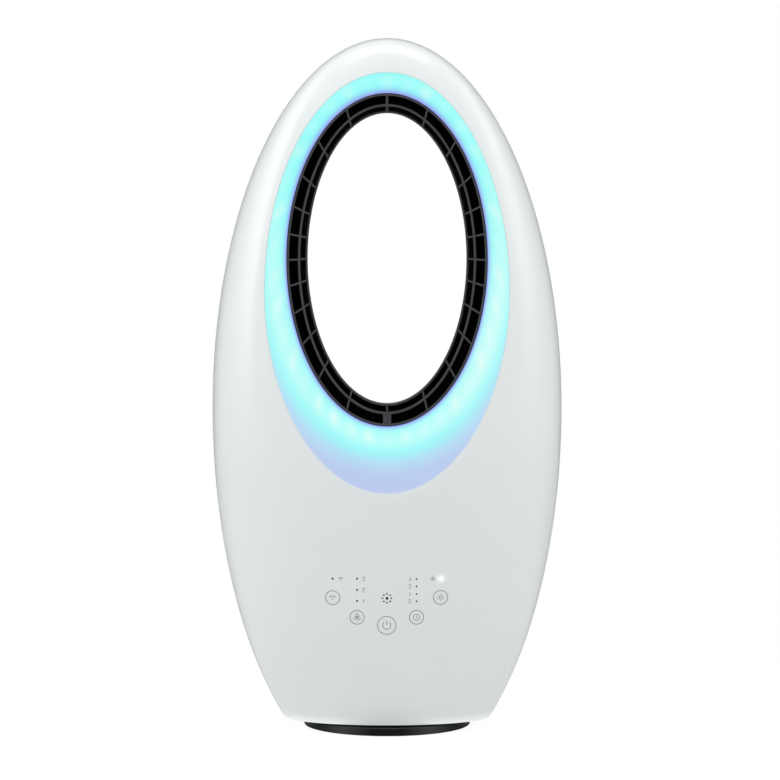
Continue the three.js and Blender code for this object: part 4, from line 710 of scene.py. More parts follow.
# %% [markdown]
# ## The funnel, the slotted ring and the throat
# All of these go round the same oval, so one helper gives a point by its angle, its distance outside
# the throat and its depth. A piece is then a closed section carried round the oval.

# %% Sections carried round the oval
RING_STEPS = 360
ring_angle = np.linspace(0, 2 * np.pi, RING_STEPS, endpoint=False)


def round_throat(offset, y):
    """Points (width + offset) sin, y, (height + offset) cos round the middle of the throat."""
    offset, y = np.asarray(offset, dtype=float)[:, None], np.asarray(y, dtype=float)[:, None]
    x = (THROAT_WIDTH + offset) * np.sin(ring_angle)
    z = THROAT_Z + (THROAT_HEIGHT + offset) * np.cos(ring_angle)
    return np.stack([x, y + 0 * x, z], axis=-1)


def round_section(offset, width, front, depth, radius):
    """A rounded rectangle in the plane of offset and y, as four quarter circles."""
    quarter = np.linspace(0, np.pi / 2, 5)
    corners = ((width - radius, radius, -1), (width - radius, depth - radius, 0))
    corners += ((radius, depth - radius, 1), (radius, radius, 2))
    along, back = [], []
    for a, b, i in corners:
        angle = quarter + i * np.pi / 2
        along.append(offset + a + radius * np.cos(angle))
        back.append(front + b + radius * np.sin(angle))
    return np.concatenate(along), np.concatenate(back)


ring_reach = round_throat([GRILLE_WIDTH], [0.0]).max(axis=(0, 1))
print("the ring reaches", round(ring_reach[0], 1), "mm to the side and", round(ring_reach[2], 1), "mm up")

# %% [markdown]
# The funnel starts just inside the shell's opening and runs down to the black ring. It is a straight
# line in plan, and its depth follows a power curve, which makes the bowl. Its back lies 2.2 mm behind.
# Besides its shape, the mesh carries the marks that the material reads, and one that says which face is
# the front.

# %% The glowing funnel
LIGHT_STEP, LIGHT_WALL, LIGHT_BOWL = 0.8, 2.2, 1.35
RIM_GAP, RIM_ROLL = 0.08, 0.15  # where the cover drops into the shell's opening
# The cover's lower outer edge carries a painted highlight, nearly white, this many millimetres wide.
LIP_WIDTH = 0.45  # millimetres of the cover's lower outer edge that light up nearly white
LAMP_COUNT, LAMP_AWAY, LAMP_SPREAD = 36, 8.5, 5.0
# Stretches round the cover: the middle and the half width in radians from the top, and the strength.
BRIGHT_LAMPS = ((3.6, 0.32, 0.34), (0.3, 0.2, 0.2))
PALE_BANDS, BAND_AWAY, BAND_SPREAD = ((1.9, 0.75, 0.5), (4.5, 0.6, 0.3)), 10, 9


def funnel():
    """Rows from the opening to the ring: straight in plan, 1 - (1 - t)^1.35 in depth, edge rolled."""
    outer_x, outer_z = opening_oval(LIGHT_OPENING, ring_angle, RIM_GAP).T
    outer_y = LIGHT_STEP - egg_depth(outer_x, outer_z)
    inner = round_throat([GRILLE_WIDTH + EDGE_GAP], [GRILLE_FRONT_Y])[0]
    share = (1 - np.cos(np.linspace(0, np.pi, 61)[:, None])) / 2
    x = outer_x + (inner[:, 0] - outer_x) * share
    z = outer_z + (inner[:, 2] - outer_z) * share
    y = outer_y + (inner[:, 1] - outer_y) * (1 - (1 - share) ** LIGHT_BOWL)
    y = y + rolled(np.hypot(x - outer_x, z - outer_z), RIM_ROLL)
    return np.stack([x, y, z], axis=-1)


def away_from_ring(points):
    """Distance in the front view from the ring's outer oval: with f = sqrt((x/a)^2 + (z/b)^2), it is
    (f - 1) f / |(x/a^2, z/b^2)|, which is exact on the axes and close everywhere near them."""
    a, b = THROAT_WIDTH + GRILLE_WIDTH + EDGE_GAP, THROAT_HEIGHT + GRILLE_WIDTH + EDGE_GAP
    x, z = points[..., 0], points[..., 2] - THROAT_Z
    f = np.hypot(x / a, z / b)
    return np.maximum((f - 1) * f / np.hypot(x / a**2, z / b**2), 0)


def bell(value, middle, width):
    """A soft hump of height one: e^-((value - middle) / width)^2."""
    return np.exp(-(((value - middle) / width) ** 2))


def stretches(angle, listed):
    """The sum of humps round the cover, each with its own middle, width and strength."""
    return sum(strength * bell(angle, middle, width) for middle, width, strength in listed)


def lamp_spots(away):
    """A soft spot over each lamp, brightest at the lower left and right of the top, and a broad pale
    band at both sides, mostly the right one. The lamps differ a little, by the sine of their number."""
    number = np.arange(LAMP_COUNT)
    lamp = number / LAMP_COUNT * 2 * np.pi
    bright = 0.22 + 0.14 * np.sin(3.7 * number + 0.6) + stretches(lamp, BRIGHT_LAMPS)
    gap = np.angle(np.exp(1j * (ring_angle[:, None] - lamp)))
    across = (THROAT_WIDTH + GRILLE_WIDTH + LAMP_AWAY) * np.cos(ring_angle)
    upwards = (THROAT_HEIGHT + GRILLE_WIDTH + LAMP_AWAY) * np.sin(ring_angle)
    along = gap * np.hypot(across, upwards)[:, None]
    spots = (bright * bell(along, 0, LAMP_SPREAD)).sum(axis=1) * bell(away, LAMP_AWAY, LAMP_SPREAD)
    band = stretches(ring_angle, PALE_BANDS) + 0.3 * np.sin(ring_angle / 2) ** 2
    return np.clip(spots + band * bell(away, BAND_AWAY, BAND_SPREAD), 0, 1)


def violet_rim(away):
    """Fades out with the distance from the ring, e^-(away/w)^1.3; it is widest over the top."""
    width = 1.5 + 1.6 * ((1 + np.cos(ring_angle)) / 2) ** 4
    return np.exp(-((away / width) ** 1.3))


def painted_lip_highlight(points):
    """A painted highlight, one on the cover's outer edge, fading within half a millimetre, and nought in
    the upper half.
    """
    inwards = points - points[0]
    below = np.clip(-1.5 * np.cos(ring_angle), 0, 1)
    return bell(np.hypot(inwards[..., 0], inwards[..., 2]), 0, LIP_WIDTH) * below


face = funnel()
section = np.vstack([face, face[::-1] + np.array([0, LIGHT_WALL, 0])])
away = away_from_ring(section)
marks = {
    "away": away / GLOW_REACH,
    "lamp": lamp_spots(away),
    "rim": violet_rim(away),
    "lip": painted_lip_highlight(section),
    "front": np.repeat([1.0, 0.0], len(face))[:, None] + 0 * away,
}
cover = Surface()
cover.grid(section, True, True, **marks)
piece(cover.mesh("glow_cover"), "fan_body", GLOW, ["light_ring"])
print("the funnel is", round(float(away.max()), 1), "mm wide at its widest")

# %% [markdown]
# The slotted ring has three hoops and 24 ribs at equal angles. The hoops are rounded sections carried
# round the oval. A rib is a thin upright section carried outwards along its own direction, so it is
# worked out in that direction's plane and turned into place. Where the two ends of the moulding meet,
# at the foot, the outer part is a wide block, and the rib at the top is thicker.

# %% The slotted ring
# Each hoop's distance outside the throat, its width and its front. A rib meets them at these places.
HOOPS = ((0.0, 1.6, LIP_Y - 4.0), (5.7, 1.9, -28.6), (14.4, 1.6, GRILLE_FRONT_Y))
RIB_OFFSETS, RIB_FRONTS = (0.8, 6.65, 15.2), (LIP_Y - 3.0, -28.1, GRILLE_FRONT_Y + 0.8)
HOOP_DEPTH, RIB_DEPTH = 4.0, 2.5
RIBS, RIB_THICKNESS, TOP_RIB, JOIN_BLOCK = 24, 1.5, 2.0, 6.4


def rib(direction, thickness, first=0):
    """A rounded section, `thickness` wide and 2.5 mm deep, from the hoop `first` to the outer one."""
    offsets, fronts = np.array(RIB_OFFSETS[first:]), np.array(RIB_FRONTS[first:])
    width, height = THROAT_WIDTH + offsets, THROAT_HEIGHT + offsets
    reach = 1 / np.hypot(np.sin(direction) / width, np.cos(direction) / height)
    side, back = round_section(-thickness / 2, thickness, 0.0, RIB_DEPTH, 0.4)
    outward = np.array([np.sin(direction), 0, np.cos(direction)])
    sideways = np.array([np.cos(direction), 0, -np.sin(direction)])
    middle = reach[:, None] * outward + fronts[:, None] * np.array([0, 1, 0])
    section = side[:, None] * sideways + back[:, None] * np.array([0, 1, 0])
    return np.array([0, 0, THROAT_Z]) + middle[:, None] + section[None]


grille = Surface()
for offset, width, front in HOOPS:
    section = round_section(offset, width, front, HOOP_DEPTH, 0.5)
    grille.grid(round_throat(*section), True, True)
for i in range(RIBS):
    grille.bar(rib(i / RIBS * 2 * np.pi, RIB_THICKNESS if i else TOP_RIB))
grille.bar(rib(np.pi, JOIN_BLOCK, first=1))
piece(grille.mesh("slotted_ring"), "fan_body", GRILLE_BLACK, ["outlet_grille"])

# %% [markdown]
# Behind the slots an inner duct leads the air forwards, and the sleeve of the throat closes the loop
# on the inside. Both are closed sections: the duct's walls lean outwards, and the sleeve flares in a
# gentle curve towards the back, where its edge is rolled into the rear half.

# %% The duct and the sleeve
DUCT_WALL, DUCT_REAR, DUCT_FLARE = 2.0, 2.0, 7.2
duct_front = GRILLE_FRONT_Y + HOOP_DEPTH + SEAM_GAP
t = np.linspace(0, 1, 9)
duct_offset = HOOPS[2][0] + SEAM_GAP + DUCT_FLARE * t
duct_y = duct_front + (DUCT_REAR - duct_front) * t
duct = Surface()
both_walls = np.concatenate([duct_offset, duct_offset[::-1] + DUCT_WALL])
duct.grid(round_throat(both_walls, np.concatenate([duct_y, duct_y[::-1]])), True, True)
piece(duct.mesh("inner_duct"), "fan_body", DUCT_BLACK, ["outlet_channel"])


def sleeve_wall(offset_at_lip, offset_at_rear, fall):
    """From the lip to the egg's back: the offset grows as t^1.2, and the rear end falls back by `fall`."""
    t = (1 - np.cos(np.linspace(0, np.pi, 40))) / 2
    offset = offset_at_lip + (offset_at_rear - offset_at_lip) * t**1.2
    points = round_throat(offset, 0 * offset)
    rear = round_throat([offset_at_rear], [0.0])[0]
    rear_y = egg_depth(rear[:, 0], rear[:, 2]) + SEAM_GAP / 2 - fall
    start = LIP_Y + SEAM_GAP
    points[..., 1] = start + (rear_y - start) * t[:, None]
    return points


SLEEVE_REACH = THROAT_FLARE - 0.06  # the rear end all but touches the rear half
SLEEVE_FALL, EDGE_FALL, PAINTED_SHADE_LIP = 0.9, 0.25, 0.08
RIDGE, RIDGE_ROWS = 1.2, slice(5, 7)  # about 5 mm before the rear end it keeps light out of the joint
inner_face = sleeve_wall(0.0, SLEEVE_REACH - THROAT_WALL, SLEEVE_FALL)
rolled_edge = sleeve_wall(0.3, SLEEVE_REACH - THROAT_WALL / 2, EDGE_FALL)[-1:]
outer_face = sleeve_wall(THROAT_WALL, SLEEVE_REACH, SLEEVE_FALL)[::-1]
# The row that closes the lip is painted black as shade, like the faces within the loop.
painted_shade_lip = sleeve_wall(PAINTED_SHADE_LIP, SLEEVE_REACH, SLEEVE_FALL)[:1]
ridge = sleeve_wall(THROAT_WALL + RIDGE, SLEEVE_REACH + RIDGE, SLEEVE_FALL)[::-1]
outer_face[RIDGE_ROWS] = ridge[RIDGE_ROWS]
section = np.vstack([inner_face, rolled_edge, outer_face, painted_shade_lip])
# The faces towards the hollow, and the lip's end, are painted black as shade.
inside = np.zeros(section.shape[:2])
inside[len(inner_face) + 1 :] = 1
sleeve = Surface()
sleeve.grid(section, True, True, inside=inside)
piece(sleeve.mesh("throat_sleeve_fine"), "fan_body", WHITE, ["throat_sleeve"])

# %% [markdown]
# ## The intake panel
# The back panel is a grid of slats in a border. Every slat follows the egg's curve from side to side,
# so a slat is a rounded section whose depth is read from the egg's formula at each point. The border
# is the same idea carried round the panel's outline, and a spine joins the slats in the middle.

# %% Slats, border and spine
INTAKE_STEP, INTAKE_WALL, INTAKE_BORDER = 0.5, 2.2, 6.0
SLOT_PITCH, SLOT_HEIGHT, SPINE = 9.0, 4.4, 5.0
SLAT_ROWS = int((INTAKE_HEIGHT - INTAKE_BORDER - SLOT_HEIGHT / 2) // SLOT_PITCH)
SLAT_POINTS, SPINE_POINTS, OUTLINE_POINTS = 60, 50, 240


def on_back(x, z, into):
    """A point of the back, `into` millimetres below the panel's face."""
    return np.stack([x, egg_depth(x, z, INTAKE_STEP) - into, z], axis=-1)


def beside_path(path, closed=False):
    """A unit step to the side at each point of a path (x, z): its direction, turned a quarter."""
    ahead = np.roll(path, -1, axis=0) - np.roll(path, 1, axis=0) if closed else np.gradient(path, axis=0)
    ahead /= np.linalg.norm(ahead, axis=1)[:, None]
    return np.stack([-ahead[:, 1], ahead[:, 0]], axis=-1)


def slat(surface, path, width):
    """A flat bar along a path (x, z), with round edges: its section goes out, over and back."""
    across = np.array([-1, -1, -0.97, -0.9, 0, 0.9, 0.97, 1, 1, 0.9, 0, -0.9])
    into = np.array([1.8, 0.35, 0.1, 0, 0, 0, 0.1, 0.35, 1.8, INTAKE_WALL, INTAKE_WALL, INTAKE_WALL])
    flat = path[:, None] + beside_path(path)[:, None] * (across * width / 2)[:, None]
    surface.bar(on_back(flat[..., 0], flat[..., 1], into))


panel = Surface()
outline, inner = (intake_oval(inset, OUTLINE_POINTS) for inset in (EDGE_GAP, INTAKE_BORDER))
step = np.array([0, 0, 0.06, 0.15, 0.85, 0.94, 1, 1, 0.5])[:, None, None]
border_into = np.array([1.6, 0.4, 0.1, 0, 0, 0.1, 0.4, 1.6, INTAKE_WALL])[:, None]
flat = outline + (inner - outline) * step
panel.grid(on_back(flat[..., 0], flat[..., 1], border_into), True, True)
for row in range(-SLAT_ROWS - 1, SLAT_ROWS + 1):
    height = INTAKE_Z + (row + 0.5) * SLOT_PITCH
    share = 1 - (abs(height - INTAKE_Z) / (INTAKE_HEIGHT - INTAKE_BORDER / 2)) ** INTAKE_POWER
    end = (INTAKE_WIDTH - INTAKE_BORDER / 2) * max(share, 0.02) ** (1 / INTAKE_POWER)
    slat_x = np.linspace(-end, end, SLAT_POINTS)
    slat(panel, np.stack([slat_x, height + 0 * slat_x], axis=-1), SLOT_PITCH - SLOT_HEIGHT)
spine_z = np.linspace(-1, 1, SPINE_POINTS) * (INTAKE_HEIGHT - INTAKE_BORDER / 2) + INTAKE_Z
slat(panel, np.stack([0 * spine_z, spine_z], axis=-1), SPINE)
piece(panel.mesh("intake_panel"), "fan_body", WHITE, ["intake_grille"])

# %% [markdown]
# ## The base
# The base is a turned disc with a soft edge. A profile of radius and height is spun round the upright
# axis. Its feet are low rubber discs with a rounded rim and a shallow groove.


# %% Turned pieces
def turned(profile, steps, x=0.0, y=0.0):
    """Spins pairs of radius and height round an upright axis through (x, y)."""
    angle = np.linspace(0, 2 * np.pi, steps, endpoint=False)
    radius, height = np.array(profile, dtype=float).T[:, :, None]
    across, along = radius * np.cos(angle), radius * np.sin(angle)
    return np.stack([x + across, y + along, height + 0 * angle], axis=-1)


def arc(radius, height, bend, start, stop):
    """Pairs on a circle of radius `bend` round (radius, height), between two angles in degrees."""
    angle = np.radians(np.linspace(start, stop, 7))
    return list(zip(radius + bend * np.cos(angle), height + bend * np.sin(angle)))


BASE_RADIUS, BASE_BOTTOM, BASE_TOP = 65.2, 0.5, 6.3
LOWER_BEND, UPPER_BEND = 0.6, 0.8  # radii of the wall's rounded edges
HUB_RADIUS, HUB_TOP, HUB_BORE, HUB_EDGE = 11.0, 22.0, 2.2, 0.4
BASE_WALL, TOP_WALL = 2.2, 1.4
base_profile = [(BASE_RADIUS - BASE_WALL, BASE_BOTTOM)]
base_profile += arc(BASE_RADIUS - LOWER_BEND, BASE_BOTTOM + LOWER_BEND, LOWER_BEND, -90, 0)
base_profile += arc(BASE_RADIUS - UPPER_BEND, BASE_TOP - UPPER_BEND, UPPER_BEND, 0, 90)
base_profile += [(HUB_RADIUS, BASE_TOP), (HUB_RADIUS, HUB_TOP - HUB_EDGE), (HUB_RADIUS - HUB_EDGE, HUB_TOP)]
base_profile += [(HUB_BORE, HUB_TOP), (HUB_BORE, BASE_TOP - TOP_WALL)]
base_profile += [(BASE_RADIUS - BASE_WALL, BASE_TOP - TOP_WALL)]
base = Surface()
base.grid(turned(base_profile + base_profile[:1], 240), wrap_columns=True)
piece(base.mesh("base_disc"), "base", BASE_BLACK, ["base_shell"])

FOOT_RADIUS, FOOT_CIRCLE, FOOT_TOP = 7.0, 48.0, 1.15
foot = [(0.01, 0), (4.0, 0), (4.3, 0.3), (4.7, 0.3), (5.0, 0), (6.6, 0), (6.9, 0.15), (FOOT_RADIUS, 0.5)]
foot += [(FOOT_RADIUS, FOOT_TOP - 0.2), (FOOT_RADIUS - 0.2, FOOT_TOP), (0.01, FOOT_TOP)]
feet = Surface()
for i in range(4):
    angle = (i + 0.5) / 4 * 2 * np.pi
    feet.bar(turned(foot, 64, FOOT_CIRCLE * np.cos(angle), FOOT_CIRCLE * np.sin(angle)))
piece(feet.mesh("rubber_feet"), "base", RUBBER, [f"foot_{i}" for i in (1, 2, 3, 4)])

# %% [markdown]
# ## Touch keys and indicators
# The keys are printed on the shell: thin rings with a sign in each, small dark dots for the indicator
# lamps, and numbers beside them. A flat image could show them too, but as geometry they stay sharp
# and are in the exported meshes. Each line is a ribbon a tenth of a millimetre thick, half of it sunk
# into the shell, that follows the shell's curve.

# %% Ribbons and dots on the shell
PRINT_LIFT, PRINT_SINK = 0.05, 0.05
HALO_RINGS, HALO_CORE, HALO_FADE = 12, 0.04, 0.5  # circles of points, and shares of the radius


def on_front(x, z, lift):
    """A point of the front, `lift` millimetres proud of the shell."""
    return np.stack([x, -(egg_depth(x, z) + SEAM_GAP / 2 + lift), z], axis=-1)


def ribbon(surface, path, width, closed=False):
    """A line of constant width along a path (x, z), lying on the shell."""
    path = np.array(path, dtype=float)
    across = np.array([-0.5, 0.5, 0.5, -0.5]) * width
    lift = np.array([PRINT_LIFT, PRINT_LIFT, -PRINT_SINK, -PRINT_SINK])
    flat = path[:, None] + beside_path(path, closed)[:, None] * across[:, None]
    points = on_front(flat[..., 0], flat[..., 1], lift)
    if closed:
        surface.grid(points, wrap_rows=True, wrap_columns=True)
    else:
        surface.bar(points)


def round_rows(x, z, radius, share, lift):
    """Circles round (x, z) on the shell, one for each share of the radius and its lift."""
    share, lift = np.array(share)[:, None], np.array(lift)[:, None]
    return on_front(x + radius * share * np.cos(round_turn), z + radius * share * np.sin(round_turn), lift)


def dot(surface, x, z, radius):
    """A round dot on the shell, with a slightly domed face."""
    lift = [-PRINT_SINK, PRINT_LIFT * 0.6, PRINT_LIFT, PRINT_LIFT * 1.3]
    surface.bar(round_rows(x, z, radius, [1.0, 1.0, 0.9, 0.5], lift))


def halo(surface, x, z, radius):
    """A thin round film of the shell's white, whose glow fades from its middle to its edge."""
    share = np.linspace(HALO_CORE, 1.0, HALO_RINGS)
    glow = np.append(bell(share, 0, HALO_FADE), 0.0)
    lift = np.append(np.full(HALO_RINGS, PRINT_LIFT), -PRINT_SINK)
    rows = round_rows(x, z, radius, np.append(share, 1.0), lift)
    surface.grid(rows, wrap_columns=True, glow=glow[:, None] + np.zeros(ROUND))
    for end, level in ((rows[0], 1.0), (rows[-1], 0.0)):
        surface.cap(end.mean(axis=0), end, glow=level)


def on_circle(x, z, radius, degrees):
    """Points of a circle; nought degrees is up, and angles run clockwise."""
    angle = np.radians(degrees)
    return np.stack([x + radius * np.sin(angle), z + radius * np.cos(angle)], axis=-1)


def circle_path(x, z, radius, start=0.0, stop=360.0, steps=72):
    """A circle's arc between two angles, or the whole circle."""
    return on_circle(x, z, radius, np.linspace(start, stop, steps, endpoint=stop - start < 360))


print("prints stand", PRINT_LIFT, "mm proud of the shell")

# %% [markdown]
# The signs and the numbers are plain strokes of one width, as a printer's stencil has them. Each digit
# is a short path on a small square, and each sign is made of arcs and straight lines.

# %% Signs in plain strokes
DIGITS = {
    "1": [(0.12, 0.78), (0.34, 1), (0.34, 0)],
    "2": [(0, 0.76), (0.08, 0.93), (0.3, 1), (0.52, 0.93), (0.6, 0.74), (0.5, 0.52), (0, 0), (0.62, 0)],
    "3": [(0.02, 0.96), (0.3, 1), (0.54, 0.9), (0.56, 0.66), (0.3, 0.54)]
    + [(0.6, 0.38), (0.58, 0.1), (0.3, 0), (0, 0.06)],
    "4": [(0.44, 0), (0.44, 1), (0, 0.28), (0.62, 0.28)],
    "5": [(0.56, 1), (0.08, 1), (0.04, 0.56), (0.32, 0.62), (0.6, 0.4), (0.54, 0.08), (0.28, 0), (0, 0.06)],
}
LINE = 0.42


def number(surface, text, x, z, height):
    """Digits of a height in a row that ends at x; a point is a small dot."""
    for sign in reversed(text):
        if sign == ".":
            x -= 0.3 * height
            dot(surface, x + 0.1 * height, z - 0.44 * height, 0.28)
        else:
            x -= 0.85 * height
            ribbon(surface, np.array(DIGITS[sign]) * height + np.array([x, z - height / 2]), LINE)


def swing_sign(surface, x, z, size):
    """A double-headed arrow bent over an upright line."""
    bow = (x, z - 0.35 * size, size * 0.8)
    ribbon(surface, circle_path(*bow, -52, 52, 24), LINE)
    for side in (-1, 1):
        tip = on_circle(*bow, side * 54)
        wing = np.array([[-0.34 * side, 0.05], [0, 0], [-0.02 * side, 0.36]]) * size
        ribbon(surface, tip + wing, LINE)
    ribbon(surface, [(x, z - 0.65 * size), (x, z - 0.2 * size), (x, z + 0.15 * size)], LINE)


def fan_sign(surface, x, z, size):
    """Three petals round a hub."""
    for turn in (0, 120, 240):
        petal = circle_path(*on_circle(x, z, size * 0.48, turn), size * 0.34, steps=28)
        ribbon(surface, petal, LINE, closed=True)
    dot(surface, x, z, size * 0.13)


def power_sign(surface, x, z, size):
    """A ring that is open at the top, and an upright line in the gap."""
    ribbon(surface, circle_path(x, z, size * 0.72, 38, 322, 48), LINE * 1.25)
    ribbon(surface, [(x, z + 0.1 * size), (x, z + 0.5 * size), (x, z + 0.95 * size)], LINE * 1.25)


def timer_sign(surface, x, z, size):
    """A clock face with two hands."""
    ribbon(surface, circle_path(x, z, size * 0.75, steps=40), LINE, closed=True)
    ribbon(surface, [(x, z + 0.5 * size), (x, z), (x + 0.34 * size, z - 0.2 * size)], LINE)


def light_sign(surface, x, z, size):
    """A small sun: a ring with eight rays."""
    ribbon(surface, circle_path(x, z, size * 0.34, steps=28), LINE, closed=True)
    for turn in range(0, 360, 45):
        ribbon(surface, on_circle(x, z, size * np.array([0.56, 0.72, 0.88]), turn), LINE * 0.9)


print("strokes are", LINE, "mm wide, for", len(DIGITS), "digits and five signs")

# %% [markdown]
# The layout is symmetric: the power key lies low in the middle, speed and timer stand to its sides, and
# swing and light are at the ends. Every indicator stands in a column over its key, and a ring of dots
# with an eye in the middle marks the receiver.

# %% The panel's layout
SMALL_KEY, LARGE_KEY, KEY_LINE = 5.5, 7.15, 0.52
KEYS = {  # place to the right and up, the ring's radius, and the sign
    "swing": (-42.1, 110.8, SMALL_KEY, swing_sign),
    "speed": (-23.2, 95.5, SMALL_KEY, fan_sign),
    "power": (-0.2, 89.2, LARGE_KEY, power_sign),
    "timer": (22.9, 95.5, SMALL_KEY, timer_sign),
    "light": (41.5, 111.0, SMALL_KEY, light_sign),
}
DOT_RADIUS, TOP_ROW, DOT_SIGN, TOP_SIGN = 0.8, 125.9, 3.0, 2.2
SPEED_ROWS = {126.2: "3", 117.4: "2", 108.5: "1"}
TIMER_ROWS = {125.9: "4", 120.1: "2", 114.1: "1", 108.4: ".5"}
TIMER_DOT = 0.85 * DOT_RADIUS
INFRARED_Z, INFRARED_RADIUS, INFRARED_DOT, INFRARED_EYE = 110.8, 3.45, 0.66, 1.15
# How far to the right of its key a small sign, the end of a number or the lit spot stands.
SWING_SIGN, LIGHT_SIGN, SPEED_NUMBER, TIMER_NUMBER, LIT_SPOT, LIT_RADIUS = 6.2, -6.0, 6.6, -3.6, 0.2, 5.2

lines, dots = Surface(), Surface()
for x, z, radius, sign in KEYS.values():
    ribbon(lines, circle_path(x, z, radius), KEY_LINE, closed=True)
    sign(lines, x, z, radius * 0.6)
swing_x, speed_x, timer_x, light_x = (KEYS[key][0] for key in ("swing", "speed", "timer", "light"))
dot(dots, swing_x, TOP_ROW, DOT_RADIUS)
swing_sign(lines, swing_x + SWING_SIGN, TOP_ROW, TOP_SIGN)
light_sign(lines, light_x + LIGHT_SIGN, TOP_ROW, TOP_SIGN)
for z, text in SPEED_ROWS.items():
    dot(dots, speed_x, z, DOT_RADIUS)
    number(lines, text, speed_x + SPEED_NUMBER, z, DOT_SIGN)
for z, text in TIMER_ROWS.items():
    dot(dots, timer_x, z, TIMER_DOT)
    number(lines, text, timer_x + TIMER_NUMBER, z, DOT_SIGN)
for turn in range(0, 360, 45):
    dot(dots, *on_circle(0, INFRARED_Z, INFRARED_RADIUS, turn), INFRARED_DOT)
dot(dots, 0, INFRARED_Z, INFRARED_EYE)
lit = Surface()
halo(lit, light_x + LIT_SPOT, TOP_ROW, LIT_RADIUS)
piece(lines.mesh("key_prints"), "fan_body", PRINT_GREY)
piece(dots.mesh("indicator_dots"), "fan_body", DOT_BLACK)
piece(lit.mesh("light_indicator"), "fan_body", LIT_DOT)

# %% [markdown]
# ## Everything else
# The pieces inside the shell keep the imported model's shapes, which are right, and get the finish that
# their slot in the record names.

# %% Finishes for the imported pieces
SLOT_FINISH = {
    "white_shell": WHITE,
    "light_cover": GLOW,
    "white_board": WHITE_BOARD,
    "black_grille": DUCT_BLACK,
    "black_base": BASE_BLACK,
    "black_plastic": MATT_BLACK,
    "black_rubber": RUBBER,
    "lead_sleeve": LEAD_RUBBER,
    "nylon": NYLON,
    "white_inner": INNER_WHITE,
    "green_board": GREEN_BOARD,
    "zinc_steel": ZINC_STEEL,
    "core_steel": CORE_STEEL,
    "bright_steel": BRIGHT_STEEL,
}
node_slot = {part["node"]: part["material_slot"] for part in frame["record"]["subparts"]}
for node, obj in frame["nodes"].items():
    obj.data.materials.clear()
    obj.data.materials.append(SLOT_FINISH[node_slot[node]])
print(len(frame["nodes"]), "packed pieces have their finish")

# %% [markdown]
# ## Floor, light and camera
# The floor is a wide pale sheet. A stronger lamp could turn it white, but it would bleach the shell as
# well, so a part of what the camera sees of it is plain white light, and the rest keeps the fan's
# shadow. It gets darker behind the fan, and close to the base it glows a little for the shell's lower
# edge.

# %% The floor
FLOOR_HALF = 1.3  # metres
floor_corners = [(x * FLOOR_HALF, y * FLOOR_HALF, 0) for x, y in ((-1, -1), (1, -1), (1, 1), (-1, 1))]
floor_mesh = bpy.data.meshes.new("floor")
floor_mesh.from_pydata(floor_corners, [], [(0, 1, 2, 3)])
floor = bpy.data.objects.new("floor", floor_mesh)
bpy.context.scene.collection.objects.link(floor)
paint = bpy.data.materials.new("floor_white")
paint.use_nodes = True
desk = Desk(paint.node_tree)
SEEN_WHITE = 0.84  # the share of plain white that the camera sees in the floor
UNDER_LIGHT = 0.22  # and the share of it that the fan's underside gets from the sheet near by
FLOOR_PALE, FLOOR_BEHIND = (0.7, 0.7, 0.7), (0.36, 0.36, 0.36)
away = desk.node("ShaderNodeVectorMath", {"operation": "LENGTH"}, desk.place(), output=1)
near = desk.between(away, 0.17, 0.1)
behind = desk.between(desk.axis(1), 0.05, 0.35)
diffuse = desk.node("ShaderNodeBsdfDiffuse", None, desk.mix(behind, FLOOR_PALE, FLOOR_BEHIND))
white = desk.node("ShaderNodeEmission", None, Color=(1, 1, 1, 1), Strength=1.12)
is_camera = desk.node("ShaderNodeLightPath", output=0)
share = is_camera * SEEN_WHITE + (1 - is_camera) * (UNDER_LIGHT * near)
mixed = desk.node("ShaderNodeMixShader", None, share, diffuse, white)
desk.node("ShaderNodeOutputMaterial", None, mixed)
floor_mesh.materials.append(paint)
print("the sheet is", 2 * FLOOR_HALF, "m wide")

# %% [markdown]
# The light is a bright room: even on the camera's side, with bright strips left and right that end in
# dimmer sides, and dim behind, so that the glossy shell shows pale bands with darker edges. Lamps could
# give the strips too, but a world that depends on the direction alone has no near or far, and the bands
# stay where they are. A lamp above and a little behind gives the top its soft shine.

# %% The room's light
CAMERA_SIDE, SIDES, BEHIND, OVERHEAD, STRIP = 1.02, 0.7, 0.2, -0.25, 3.4
world = bpy.data.worlds.new("bright_room")
bpy.context.scene.world = world
world.use_nodes = True
desk = Desk(world.node_tree)
direction = desk.node("ShaderNodeSeparateXYZ", None, desk.node("ShaderNodeTexCoord", output=0))
right, ahead, up = (Wire(desk, output) for output in direction.socket.node.outputs)
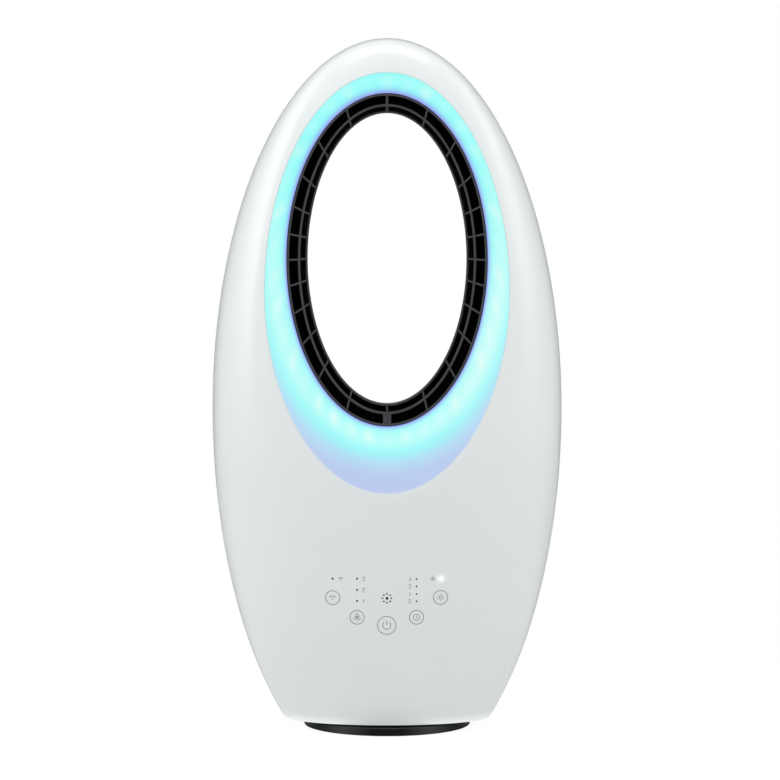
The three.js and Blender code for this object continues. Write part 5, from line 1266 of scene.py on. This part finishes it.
# Above nought on the camera's side of a plane that leans back upwards and closes in at both sides.
towards_camera = -1.0 * ahead - 0.37 * abs(right) + 0.75 * up
left_edge, right_edge = desk.between(towards_camera, -0.01, 0.02), desk.between(towards_camera, -0.25, 0.1)
is_right = right > 0.0
camera_side = is_right * right_edge + (1 - is_right) * left_edge
strip = (1 - camera_side) * desk.between(towards_camera, -0.6, -0.05) * (1 - 0.15 * is_right)
strip = strip * desk.between(up, -0.2, 0.17) * (1 - desk.between(up, 0.45, 0.75))
level = SIDES + (CAMERA_SIDE - SIDES) * camera_side + STRIP * strip
level = level + (BEHIND - SIDES) * desk.between(ahead, 0.35, 0.8) + OVERHEAD * desk.between(up, 0.3, 0.9)
seen = desk.node("ShaderNodeLightPath", output=0)
strength = level * (1 - seen) + seen
background = desk.node("ShaderNodeBackground", None, Color=(1, 1, 1, 1), Strength=strength)
desk.node("ShaderNodeOutputWorld", None, background)

lamp = bpy.data.lights.new("top_panel", "AREA")
lamp.shape, lamp.size, lamp.size_y, lamp.energy = "RECTANGLE", 1.4, 0.6, 6.0
lamp_object = bpy.data.objects.new("top_panel", lamp)
lamp_object.location = (0.0, 0.43, 1.7)
bpy.context.scene.collection.objects.link(lamp_object)
print("the room's levels:", CAMERA_SIDE, SIDES, BEHIND, "and", STRIP, "more in the strips")

# %% [markdown]
# The camera stands five metres away and looks down by a little more than six degrees. The focal length
# follows from how many millimetres of the fan one pixel of the picture covers.

# %% The camera
CAMERA_AWAY, TILT = 5.0, np.radians(6.3)
AIM_X, AIM_Z = 0.0023, 0.26437  # the place in the picture's middle, in metres
PIXEL_MM, PICTURE = 0.78349, 780
camera = bpy.data.cameras.new("camera")
camera.sensor_width = 36.0
camera.lens = CAMERA_AWAY / (PICTURE * PIXEL_MM * MM) * camera.sensor_width
camera.clip_end = 200.0
camera_object = bpy.data.objects.new("camera", camera)
camera_object.location = (AIM_X, -CAMERA_AWAY * np.cos(TILT), AIM_Z + CAMERA_AWAY * np.sin(TILT))
camera_object.rotation_euler = (np.pi / 2 - TILT, 0, 0)
bpy.context.scene.collection.objects.link(camera_object)
bpy.context.scene.camera = camera_object
bpy.context.scene.view_settings.view_transform = "Standard"
print("lens", round(camera.lens, 1), "mm")
